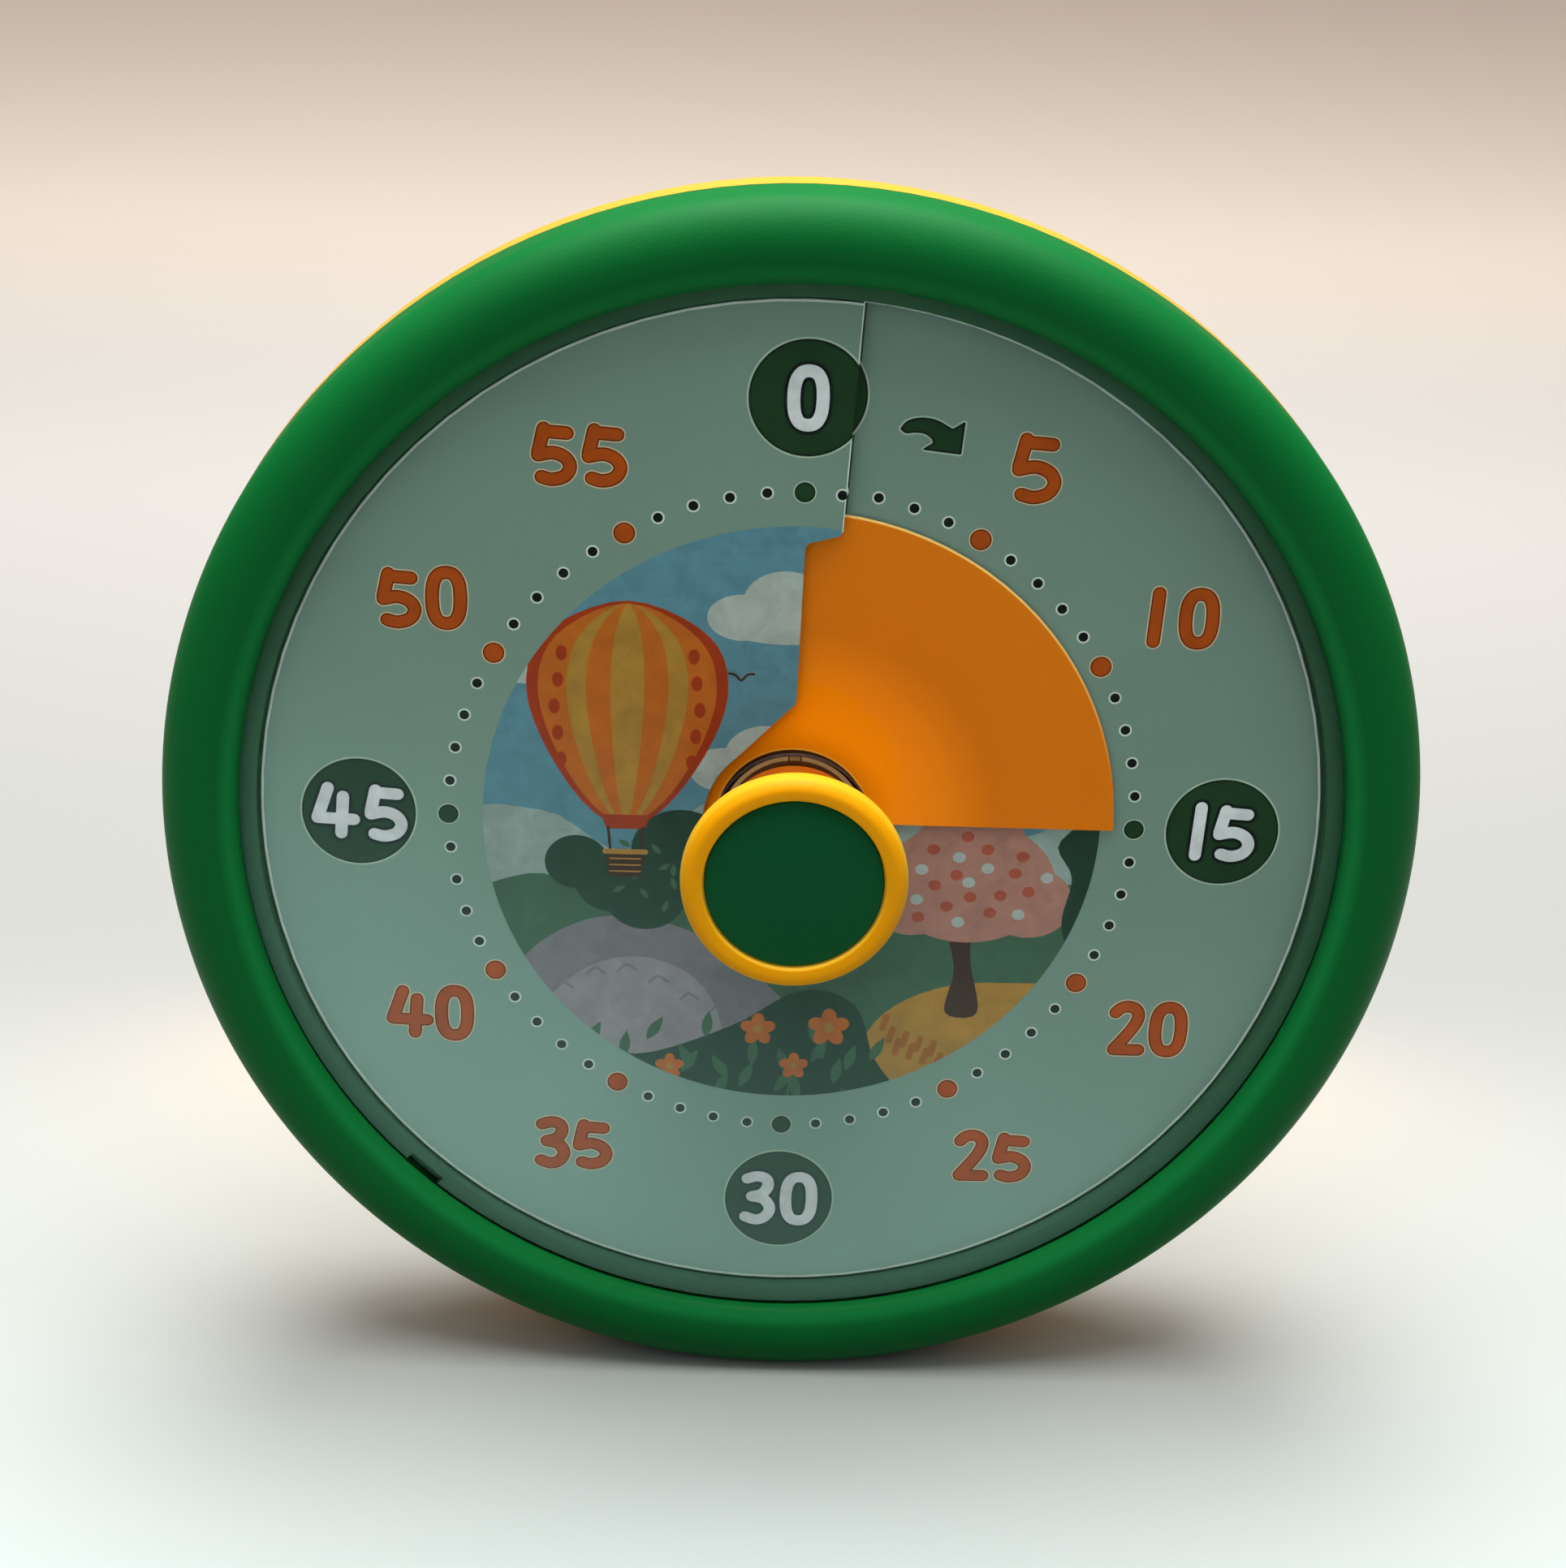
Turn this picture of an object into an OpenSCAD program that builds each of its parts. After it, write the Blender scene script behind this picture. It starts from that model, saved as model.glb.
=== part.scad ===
// Round visual countdown timer, 60 minutes. Every piece is drawn face up: x to the right, y
// towards 12 o'clock, z out of the dial, with z = 0 at the middle of the dial card's slope.
// stand() then tips the whole timer up onto its rim. Angles marked clock run clockwise from 12.

/* [Case] */
// Outer radius of the bezel and the back shell
bezel_r = 90.2; // [86:0.1:98]
// Width of the bezel's face, from its lip to its outer edge
bezel_w = 11.4; // [10.5:0.1:13]
// Distance from the outer edge to the bezel's crest
crest_in = 6.8; // [5.5:0.1:7.5]
// Height of the crest above the lens
crest_h = 2.75; // [2.5:0.05:4]
// Height of the lip's sharp inner edge above the lens
lip_h = 0.95; // [0.5:0.05:1.5]
// Drop from the crest to where the bezel's side turns straight
shoulder_h = 5.9; // [4:0.1:7]
// Wall of the bezel and the back shell
case_wall = 2; // [1.6:0.1:2.4]
// Straight part of the back shell's side
side_h = 3.5; // [2:0.1:8]
// Depth of the back shell's rounded shoulder
shoulder_d = 21; // [19:0.1:26]
// Width of the back shell's rounded shoulder
shoulder_w = 24.2; // [20:0.1:27]
// Width of the groove between bezel and back shell
seam = 0.2; // [0.1:0.05:0.4]

/* [Dial] */
// Distance from the lip to the dial card's edge
card_in = 2.6; // [2.4:0.1:4.4]
// Thickness of the dial card
card_t = 0.4; // [0.3:0.05:0.6]
// Rise of the card in one turn, which opens the slit at 12
dial_step = 2.2; // [1.9:0.1:3]
// Hole round the knob in the card
card_hole_r = 12.9; // [12.3:0.1:15]
// Radius of the countdown disc
disc_r = 46.3; // [40:0.1:47]
// Thickness of the countdown disc
disc_t = 0.3; // [0.2:0.05:0.4]
// Height of the disc above the card where it lies in front
disc_lift = 0.75; // [0.7:0.05:0.9]
// Minutes that the disc shows
minutes_set = 15; // [0:1:60]
// Gap between moving sheets and what is fixed
run_gap = 0.35; // [0.3:0.05:0.6]
// Air under the disc at its lowest
under_gap = 1.2; // [1:0.1:3]
// Thickness of the dial frame's plate
plate_t = 1.6; // [1.2:0.1:2.2]
// Thickness of the ring wall round the card
ring_t = 2.4; // [2:0.1:2.8]
// Gap between the card's edge and the ring wall
card_gap = 0.4; // [0.2:0.05:0.6]
// Width of the sloping ledge that the card lies on
ledge_w = 2.2; // [1.5:0.1:4]
// Thickness of the clear lens
lens_t = 1.2; // [1:0.1:1.6]
// Width of the lens's edge under the lip
lens_hold = 1.8; // [1.2:0.1:2]
// Radial clearance round the lens
lens_gap = 0.3; // [0.1:0.05:0.4]
// Hole in the lens for the knob
lens_hole_r = 11.3; // [11.2:0.1:12]

/* [Knob] */
// Radius of the knob's rim
knob_r = 15.7; // [15:0.1:17]
// Height of the rim's crest above the dial
knob_top = 23.7; // [20:0.1:28]
// Radius of the green cap
cap_r = 12.4; // [12:0.1:12.8]
// Thickness of the green cap
cap_t = 1.3; // [1:0.1:2]
// Radius of the knob's stem
stem_r = 10.3; // [10:0.1:10.6]
// Depth of the head below its crest
head_h = 8.3; // [7:0.1:10]
// Radius of the knob's hub, inside the disc's collar
hub_r = 9.65; // [9.4:0.05:9.7]
// Wall of the disc's collar
collar_t = 1.2; // [1:0.05:1.25]
// Radial clearance of running fits
fit_gap = 0.05; // [0.03:0.01:0.09]

/* [Movement] */
// Radius of the knob's arbor
arbor_r = 2.5; // [2:0.1:3]
// Gear module of the train
gear_m = 0.5; // [0.48:0.01:0.54]
// Teeth of the main wheel on the arbor
main_teeth = 60; // [54:6:66]
// Teeth of the second wheel
second_teeth = 48; // [42:6:48]
// Teeth of both pinions
pinion_teeth = 12; // [11:1:14]
// Side of the square movement case
move_side = 60; // [58:0.5:64]
// Wall of the movement case
move_wall = 1.4; // [1:0.1:2]
// Radius of the motor can
motor_r = 10; // [8:0.1:10.5]
// Thickness of the motor can
motor_t = 4.6; // [3:0.1:6]

/* [Battery and electrics] */
// Radius of the cell
cell_r = 7.15; // [6.9:0.05:7.25]
// Length of the cell without its button
cell_l = 49.2; // [47:0.1:50]
// Height of the cell above the knob's axis
cell_y = 44.5; // [43.5:0.1:46]
// Room for the contact spring
spring_room = 5.6; // [4.5:0.1:7]
// Clearance round the cell in its bay
bay_gap = 0.9; // [0.5:0.1:1.5]
// Wall of the battery bay
bay_wall = 1.5; // [1.2:0.1:2]
// Clearance round the battery door
door_gap = 0.3; // [0.2:0.05:0.5]
// Width of the ledge that carries the door
door_ledge = 1.9; // [1.5:0.1:2.5]
// Radius of the buzzer
buzzer_r = 11; // [9:0.5:12]
// Radius of each hole in the sound grille
grille_hole_r = 0.8; // [0.5:0.05:1]
// Travel of the sound switch
switch_travel = 3; // [2:0.1:4]

/* [Stand and fixings] */
// Width of the folding foot
foot_w = 59.6; // [50:0.2:64]
// Reach of the foot behind its hinge
foot_l = 40; // [34:0.5:41]
// Thickness of the foot
foot_t = 3; // [2.5:0.1:3.4]
// Thickness of the rubber pads
pad_t = 0.8; // [0.5:0.05:1]
// Radius of the foot's hinge pins
pin_r = 1.2; // [1:0.05:1.4]
// Thickness of each hinge ear
ear_t = 4; // [3:0.1:5]
// Radius of the magnets
magnet_r = 7; // [5:0.1:8]
// Thickness of the magnets
magnet_t = 2.4; // [2:0.1:2.6]
// Radius of the thread of the case screws
screw_r = 1.3; // [1.1:0.05:1.5]

/* [Hidden] */
$fn = 96;
// Depth to which joined solids run into each other, and to which cuts run past a face
bite = 0.3;
past = 1;

// Heights of the dial, from the card outwards and inwards
lens_back = dial_step / 2 + disc_lift + disc_t / 2 + run_gap;
lens_front = lens_back + lens_t;
disc_low = -dial_step * 1.5 + disc_lift - disc_t / 2;
plate_top = disc_low - under_gap;
plate_back = plate_top - plate_t;
crest_z = lens_front + crest_h;
straight_z = crest_z - shoulder_h;
lip_r = bezel_r - bezel_w;
card_r = lip_r - card_in;
crest_r = bezel_r - crest_in;
lens_r = lip_r + lens_hold;
skirt_r = lens_r + lens_gap;
ring_in = card_r + card_gap;
bezel_in = bezel_r - case_wall;
plate_r = bezel_in - 0.6;

// Back shell
shell_front = plate_back - seam;
curve_z = plate_back - side_h;
back_z = curve_z - shoulder_d;
back_in = back_z + case_wall;
flat_r = bezel_r - shoulder_w;

// Posts and screws
post_r = 2.5;
bezel_posts = 8;
bezel_post_at = (skirt_r + case_wall + bezel_in) / 2;
thread_gap = 0.05;
case_screw_at = card_r - 6.2;
case_screw_clock = [0, 55, 125, 235, 305];
boss_h = 8.5;
boss_r = 3.4;
shell_post_r = 5;
land_w = 1.8;
pin_in = 7;
head_r = 2.9;
head_t = 1.8;
head_gap = 0.5;
head_seat_z = back_z + 8;
case_tip_z = plate_back - 1.6;
hole_gap = 0.2;
small_r = 0.9;
small_head_r = 1.9;
small_head_t = 1.2;
small_reach = 4;
small_gap = 0.15;
post_gap = 0.3;

// Ribs under the card and the slot that locates the lens
ribs = 12;
rib_t = 1.6;
rib_from = disc_r + 2.5;
rib_lag = 3;
card_rest = 0.06;
rib_rest = 0.1;
bush_room = 0.7;
lens_slot_clock = 223;
lens_slot_l = 6.2;
lens_slot_d = 1.5;
lens_slot_in = 1.3;

// Knob, hub and collar
set_clock = minutes_set * 6;
slit_clock = 6.6;
slit_x = 1.2;
jog_clock = 1.2;
jog_in = 0.5;
tab_in = 3.2;
tab_x = 0.6;
tab_corner = 1.2;
slit_foot = 4.6;
slit_foot_r = 1.6;
card_end_clock = -44;
card_lap = 6;
hub_low = plate_top + 0.5;
stem_low = lens_front + 0.85;
collar_bore = hub_r + fit_gap;
collar_r = collar_bore + collar_t;
shelf_t = 0.5;
shelf_r = card_hole_r - 0.3;
sheet_gap = 0.02;
key_w = 1.6;
key_d = 0.45;
key_gap = 0.15;
key_room = 0.25;
collar_low = disc_z(set_clock - 360) - disc_t / 2 - shelf_t;
collar_high = disc_z(set_clock) + disc_t / 2 + 0.6;
head_low = knob_top - head_h;
rim_r = 1.8;
rim_up = 2.9;
rim_down = head_h - 4.5;
rim_in = 0.7;
knob_wall = 2;
cap_gap = 0.2;
cap_sink = 0.8;
cap_seat = 1.2;
cap_seat_t = 3;
cap_snap = 2.4;
cap_snap_t = 0.9;
cap_z = knob_top - cap_sink - cap_t;
socket_r = 5;
fin_t = 1;
arbor_top = stem_low + 4.6;
screw_seat = arbor_top + 3;
flat_d = 0.5;

// Movement, from front to back
move_boss = 2.5;
move_front = plate_back - move_boss;
move_inner = move_front - plate_t;
main_z = move_inner - 1.2;
wheel_t = 2;
clutch_t = 0.8;
second_z = main_z - wheel_t - 1.6;
motor_front = second_z - 2.4;
move_back = motor_front - motor_t;
move_end = move_back - move_wall;
second_clock = 225;
second_at = polar(second_clock, gear_m * (main_teeth + pinion_teeth) / 2);
motor_clock = 100;
motor_at = second_at + polar(motor_clock, gear_m * (second_teeth + pinion_teeth) / 2);
move_screw_at = move_side / 2 - 3.6;
pivot_r = 0.75;
bush_r = arbor_r + 2;
flange_r = bush_r + 2;
backlash = 0.07;
pressure = 25;
arbor_flange_r = arbor_r + 2;
leaf_w = 2.4;
leaf_t = 0.3;
leaf_reach = 4;
press_gap = 0.02;
second_t = 1.5;
second_hub_r = 1.6;
end_play = 0.4;
lug_r = 2;
lug_t = 1;
corner_r = 3;
move_seat_z = move_end + 8;
move_tip_z = plate_back - 0.5;

// Battery bay, door and electrics
button_r = 2.7;
button_l = 1.3;
jacket_t = 0.3;
contact_t = 0.5;
spring_wire = 0.35;
coil_wide = 4.6;
coil_narrow = 3;
coil_turns = 4;
end_gap = 0.3;
tab_w = 11;
tab_drop = 5;
bay_half = [(spring_room + cell_l + button_l + contact_t + 0.7) / 2, cell_r + bay_gap];
bay_floor = back_in + 2 * cell_r + 1.8;
cell_z = bay_floor - cell_r - 0.4;
cell_x = -bay_half[0] + end_gap + spring_room;
door_half = bay_half + [door_ledge, door_ledge];
notch_r = 6.8;
notch_deep = 1.6;
notch_w = 18;
door_t = case_wall - 0.02;
door_rib_t = 1.4;
door_frame_t = 1.2;
door_corner = 2.2;
hook = [3, 0.6, 2.4];
latch = [5, 0.6, 4];
board_size = [20, 40];
board_at = [46, 0];
board_front = back_z + 10;
board_t = 1.6;
board_hole_in = 3;
chip_at = [-4, 9];
chip_half = [3, 3];
chip_t = 1.2;
quartz_at = [5, -8];
quartz_half = [1.2, 2.4];
quartz_t = 1;
capacitor_at = [-5, -9];
capacitor_r = 2.6;
capacitor_h = 4;
switch_size = [15, 8];
switch_face = back_z + 3.4;
slider_half = [2.2, 1.1];
slider_seat = 1;
slider_gap = 0.2;
slider_flange = [0.3, 0.8];
slider_sink = 0.4;
slot_half = [slider_half[0] + switch_travel / 2 + 0.6, 2.2];
slot_dish = [4, 3];
slot_dish_d = 0.7;
buzzer_at = [-46, 0];
buzzer_t = 6;
buzzer_gap = 0.4;
buzzer_wall_t = 1.2;
buzzer_wall_h = 4;
sound_hole_r = 1.2;
grille_pitch = 3;
magnet_at = [44, 28];
magnet_proud = 0.2;
magnet_gap = 0.15;
magnet_wall = 1.8;
magnet_floor = 1.4;
magnet_top = back_z + magnet_t - magnet_proud;

// Folding foot
ear_gap = 0.4;
ear_in = foot_w / 2 + ear_gap;
foot_clear = 0.4;
hinge_h = foot_t + pad_t - 0.1;
hinge_y = hinge_h - bezel_r;
hinge_z = back_z + pad_t + foot_t;
pocket_z = hinge_z + foot_clear + 0.1;
pocket_top = hinge_y + foot_l + 1;
barrel_r = 2.6;
foot_corner = 5;
grip_r = 9;
grip_deep = 3;
pad_r = 4;
pad_in = 7;
stand_shift = (knob_top - (foot_l - hinge_z)) / 2;

// A point at a clock angle and a radius
function polar(clock, r) = [r * sin(clock), r * cos(clock)];
// Height of the card's and the disc's middle surface at a clock angle
function card_z(clock) = dial_step * (clock / 360 - 0.5);
function disc_z(clock) = card_z(clock) + disc_lift;
// Points of an elliptical arc
function ellipse_arc(cx, cz, a, b, from, to, n) =
    [for (i = [0:n]) let (t = from + (to - from) * i / n) [cx + a * cos(t), cz + b * sin(t)]];

// Tips the timer from face up to upright, with its rim on z = 0
module stand() translate([0, stand_shift, bezel_r]) rotate([90, 0, 0]) children();

module slab(half, z0, z1) translate([-half[0], -half[1], z0]) cube([2 * half[0], 2 * half[1], z1 - z0]);

module rod(r, z0, z1) translate([0, 0, z0]) cylinder(r = r, h = z1 - z0);

module tube(r_out, r_in, z0, z1) difference() {
    rod(r_out, z0, z1);
    rod(r_in, z0 - 1, z1 + 1);
}

module round_slab(half, corner, z0, z1) translate([0, 0, z0]) linear_extrude(z1 - z0) union() {
    square([2 * half[0], 2 * (half[1] - corner)], center = true);
    square([2 * (half[0] - corner), 2 * half[1]], center = true);
    for (x = [-1, 1], y = [-1, 1])
        translate([x * (half[0] - corner), y * (half[1] - corner)]) circle(r = corner, $fn = 48);
}

// A sheet on a helical slope: a flat ring cut once and pulled apart along its axis
module slope_sheet(r_in, r_out, from, to, thick, offset_z, step_deg = 4) {
    n = ceil((to - from) / step_deg);
    at = [for (i = [0:n]) from + (to - from) * i / n];
    points = [for (c = at) each [
        concat(polar(c, r_in), card_z(c) + offset_z + thick / 2),
        concat(polar(c, r_out), card_z(c) + offset_z + thick / 2),
        concat(polar(c, r_out), card_z(c) + offset_z - thick / 2),
        concat(polar(c, r_in), card_z(c) + offset_z - thick / 2)]];
    sides = [for (i = [0:n - 1], k = [0:3]) each [
        [4 * i + k, 4 * i + (k + 1) % 4, 4 * i + 4 + k],
        [4 * i + (k + 1) % 4, 4 * i + 4 + (k + 1) % 4, 4 * i + 4 + k]]];
    ends = [[0, 3, 2], [0, 2, 1], [4 * n, 4 * n + 1, 4 * n + 2], [4 * n, 4 * n + 2, 4 * n + 3]];
    polyhedron(points, concat(sides, ends), convexity = 6);
}

// A flat-bottomed ring whose top follows the card's slope, with its step at 12
module slope_ring(r_in, r_out, offset_z, bottom_z, step_deg = 5) {
    n = 360 / step_deg;
    at = [for (i = [0:n]) i * step_deg];
    points = [for (i = [0:n]) let (c = at[i] + (i == 0 ? 0.2 : i == n ? -0.2 : 0)) each [
        concat(polar(c, r_in), card_z(c) + offset_z), concat(polar(c, r_out), card_z(c) + offset_z),
        concat(polar(c, r_out), bottom_z), concat(polar(c, r_in), bottom_z)]];
    sides = [for (i = [0:n - 1], k = [0:3]) each [
        [4 * i + k, 4 * i + (k + 1) % 4, 4 * i + 4 + k],
        [4 * i + (k + 1) % 4, 4 * i + 4 + (k + 1) % 4, 4 * i + 4 + k]]];
    ends = [[0, 3, 2], [0, 2, 1], [4 * n, 4 * n + 1, 4 * n + 2], [4 * n, 4 * n + 2, 4 * n + 3]];
    polyhedron(points, concat(sides, ends), convexity = 6);
}

// Outline of a spur gear with involute flanks, a tooth centred on the x axis
function inv_deg(a) = tan(a) * 180 / PI - a;
function flank_deg(r, pitch, base) =
    inv_deg(pressure) - (r > base ? inv_deg(acos(base / r)) : 0);
function gear_outline(teeth) =
    let (pitch = gear_m * teeth / 2, base = pitch * cos(pressure), root = pitch - 1.05 * gear_m,
        tip = pitch + 0.8 * gear_m, half = 90 / teeth - backlash / 2 / pitch * 180 / PI,
        rs = [for (i = [0:4]) max(root, base) + (tip - max(root, base)) * i / 4])
    [for (k = [0:teeth - 1]) let (mid = k * 360 / teeth) each concat(
        [root * [cos(mid - half - flank_deg(root, pitch, base)),
            sin(mid - half - flank_deg(root, pitch, base))]],
        [for (r = rs) let (a = mid - half - flank_deg(r, pitch, base)) r * [cos(a), sin(a)]],
        [for (i = [4:-1:0]) let (r = rs[i], a = mid + half + flank_deg(r, pitch, base))
            r * [cos(a), sin(a)]],
        [root * [cos(mid + half + flank_deg(root, pitch, base)),
            sin(mid + half + flank_deg(root, pitch, base))]])];

// A gear whose tooth, or gap, points along a clock angle
module gear(teeth, clock, z0, z1, gap = false)
    rotate(90 - clock + (gap ? 180 / teeth : 0)) translate([0, 0, z0])
        linear_extrude(z1 - z0) polygon(gear_outline(teeth));

module bezel_section() polygon(concat(
    [[bezel_r, plate_back]],
    ellipse_arc(crest_r, straight_z, crest_in, shoulder_h, 0, 90, 14),
    ellipse_arc(crest_r, lens_front + lip_h, crest_r - lip_r, crest_h - lip_h, 100, 180, 6),
    [[lip_r, lens_front], [skirt_r, lens_front], [skirt_r, plate_top],
        [skirt_r + case_wall, plate_top], [skirt_r + case_wall, crest_z - case_wall]],
    ellipse_arc(crest_r, straight_z, crest_in - case_wall, shoulder_h - case_wall, 80, 0, 8),
    [[bezel_in, plate_back]]));

module at_posts() for (i = [0:bezel_posts - 1])
    translate(polar((i + 0.5) * 360 / bezel_posts, bezel_post_at)) children();

module bezel() color([0.05, 0.36, 0.17]) stand() difference() {
    union() {
        rotate_extrude($fn = 180) bezel_section();
        at_posts() rod(post_r, plate_top, crest_z - case_wall - 0.1);
    }
    at_posts() rod(small_r + thread_gap, plate_top - past, plate_top + small_reach + past);
}

module lens() color([0.85, 0.92, 0.92, 0.3]) stand()
    tube(lens_r, lens_hole_r, lens_back, lens_front, $fn = 180);

// Height of the ribs under the card at a clock angle
function rib_z(clock) = card_z(clock) - card_t / 2 - rib_rest;

module at_case_screws() for (c = case_screw_clock) translate(polar(c, case_screw_at)) children();
module at_move_screws() for (x = [-1, 1], y = [-1, 1])
    translate([x * move_screw_at, y * move_screw_at]) children();
module at_board_screws() for (y = [-1, 1])
    translate([board_at[0], board_at[1] + y * (board_size[1] / 2 - board_hole_in)]) children();

// Slot in the ring wall's front that a tab of the lens would drop into
module lens_slot() rotate(-lens_slot_clock) translate([-lens_slot_l / 2, ring_in + ring_t - lens_slot_in, 0])
    translate([0, 0, lens_back - lens_slot_d]) cube([lens_slot_l, lens_slot_in + past, lens_slot_d + past]);

module dial_frame() color([0.09, 0.34, 0.2]) stand() {
    difference() {
        union() {
            rod(plate_r, plate_back, plate_top, $fn = 180);
            tube(ring_in + ring_t, ring_in, plate_back, lens_back, $fn = 180);
            slope_ring(ring_in - ledge_w, ring_in + bite, -card_t / 2 - card_rest, plate_top - bite);
            for (i = [0:ribs - 1]) let (clock = (i + 0.5) * 360 / ribs) rotate(-clock)
                translate([-rib_t / 2, rib_from, plate_top - bite])
                cube([rib_t, ring_in - ledge_w / 2 - rib_from, rib_z(clock - rib_lag) - plate_top + bite]);
            at_case_screws() rod(boss_r, plate_back - boss_h, plate_back + bite, $fn = 48);
            at_move_screws() rod(boss_r, move_front, plate_back + bite, $fn = 48);
            at_board_screws() rod(post_r, board_front, plate_back + bite, $fn = 48);
        }
        rod(flange_r + bush_room, plate_back - past, plate_top + past);
        at_case_screws() rod(screw_r + thread_gap, plate_back - boss_h - past, plate_back - past, $fn = 48);
        at_move_screws() rod(small_r + thread_gap, move_front - past, plate_back + 0.6, $fn = 48);
        at_board_screws()
            rod(small_r + thread_gap, board_front - past, board_front + small_reach + past, $fn = 48);
        at_posts() rod(small_r + post_gap, plate_back - past, plate_top + past, $fn = 48);
        lens_slot();
    }
}

// Area of the card's upper end that is cut away, right of the slit at 12 and round the knob
module slit_outline() {
    outer = polar(slit_clock, card_r + 5);
    jog = polar(slit_clock + jog_clock, disc_r - jog_in);
    tab = [slit_x + tab_x, disc_r - tab_in];
    foot = [slit_x - 0.2, card_hole_r + slit_foot];
    polygon(concat(
        [outer, jog, polar(slit_clock - 2, disc_r - 1.2)],
        [for (t = [0:15:90]) tab + tab_corner * [1 - sin(t), cos(t)]],
        [for (t = [0:15:60]) foot + slit_foot_r * [cos(t) - 1, -sin(t)]],
        [polar(card_end_clock, card_hole_r), [0, 0], polar(100, 30), polar(60, card_r + 20)]));
}

module dial_card() color([0.42, 0.53, 0.48]) stand() difference() {
    slope_sheet(card_hole_r, card_r, 0, 360 + slit_clock + card_lap, card_t, 0);
    linear_extrude(dial_step) slit_outline();
}

module countdown_disc() color([0.9, 0.48, 0.02]) stand()
    slope_sheet(collar_r + fit_gap, disc_r, set_clock - 360, set_clock, disc_t, disc_lift);

module keys(r, wide, deep, z0, z1) for (a = [0:90:270]) rotate(a)
    translate([r - bite, -wide / 2, z0]) cube([deep + bite, wide, z1 - z0]);

module disc_collar() color([0.16, 0.07, 0.03]) stand() difference() {
    union() {
        rod(collar_r, collar_low, collar_high);
        slope_sheet(collar_r - bite, shelf_r, set_clock - 359, set_clock - 1, shelf_t,
            disc_lift - (disc_t + shelf_t) / 2 - sheet_gap, 6);
    }
    rod(collar_bore, collar_low - past, collar_high + past);
    keys(collar_bore, key_w + 2 * key_gap, key_d + key_room, collar_low - past, collar_high + past);
}

module knob_section() let (bore_r = stem_r - knob_wall, floor_z = stem_low + knob_wall,
    rim = [knob_r - rim_r, knob_top - rim_up], seat_r = cap_r - cap_seat)
    polygon(concat(
        [[0, hub_low], [hub_r, hub_low], [hub_r, stem_low], [stem_r, stem_low], [stem_r, head_low]],
        ellipse_arc(rim[0], rim[1], rim_r, rim_down, -80, 0, 6),
        ellipse_arc(rim[0], rim[1], rim_r, rim_up, 15, 90, 6),
        ellipse_arc(rim[0], knob_top - rim_in, rim[0] - cap_r - cap_gap, rim_in, 110, 180, 5),
        [[cap_r + cap_gap, cap_z], [seat_r, cap_z], [seat_r, cap_z - cap_seat_t],
            [bore_r, cap_z - 2 * cap_seat_t], [bore_r, floor_z], [socket_r, floor_z],
            [socket_r, screw_seat], [0, screw_seat]]));

// Cuts the arbor's round section flat on one side
module arbor_flat(gap, z0, z1)
    translate([arbor_r - flat_d + gap, -socket_r, z0]) cube([socket_r, 2 * socket_r, z1 - z0]);

module knob() color([0.98, 0.72, 0.05]) stand() difference() {
    union() {
        rotate_extrude() knob_section();
        keys(hub_r, key_w, key_d, hub_low + 0.4, stem_low + bite);
        for (a = [30:60:330]) rotate(a)
            translate([socket_r - bite, -fin_t / 2, stem_low + knob_wall - bite])
            cube([stem_r - knob_wall - socket_r + 2 * bite, fin_t, screw_seat - stem_low - 3]);
    }
    difference() {
        rod(arbor_r + fit_gap, hub_low - past, arbor_top + 0.2);
        arbor_flat(fit_gap, hub_low - 2 * past, arbor_top + past);
    }
    rod(screw_r + hole_gap, hub_low, screw_seat + past);
}

module knob_cap() color([0.05, 0.3, 0.16]) stand() {
    edge = 0.4;
    rotate_extrude() polygon(concat([[0, cap_z], [cap_r, cap_z]],
        ellipse_arc(cap_r - edge, cap_z + cap_t - edge, edge, edge, 0, 90, 4), [[0, cap_z + cap_t]]));
    snap_r = cap_r - cap_seat - 0.3;
    tube(snap_r, snap_r - cap_snap_t, cap_z - cap_snap, cap_z + bite);
}

// A pan-head screw that points towards +z, with its head behind the seat
module screw(r, head, thick, seat_z, length) difference() {
    union() {
        rod(r, seat_z - bite, seat_z + length, $fn = 32);
        rod(head, seat_z - thick, seat_z, $fn = 32);
    }
    for (a = [0, 90]) rotate(a) slab([head * 0.6, head * 0.14], seat_z - thick - 1, seat_z - thick * 0.45);
}

module knob_screw() color([0.7, 0.7, 0.72]) stand()
    translate([0, 0, screw_seat]) mirror([0, 0, 1])
        screw(screw_r, head_r, head_t, 0, arbor_top - stem_low + 2);

module arbor() color([0.72, 0.72, 0.7]) stand() difference() {
    union() {
        rod(arbor_r, move_end + 0.6, arbor_top);
        rod(arbor_flange_r, second_z, main_z - wheel_t - clutch_t);
    }
    arbor_flat(0, hub_low, arbor_top + past);
    rod(screw_r + thread_gap, stem_low, arbor_top + past);
}

module arbor_bush() color([0.78, 0.6, 0.3]) stand() difference() {
    union() {
        rod(bush_r, main_z + 0.8, hub_low - 0.5);
        rod(flange_r, move_front, move_front + 1);
    }
    rod(arbor_r + fit_gap, main_z - past, hub_low + past);
}

module main_wheel() color([0.92, 0.9, 0.82]) stand() difference() {
    union() {
        gear(main_teeth, second_clock, main_z - wheel_t, main_z);
        rod(bush_r, main_z - bite, main_z + 0.4);
    }
    rod(arbor_r + press_gap, main_z - wheel_t - past, main_z + past);
    for (a = [0:60:300]) rotate(a) translate([gear_m * main_teeth * 0.32, 0])
        rod(gear_m * main_teeth * 0.1, main_z - wheel_t - past, main_z + past, $fn = 48);
}

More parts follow.
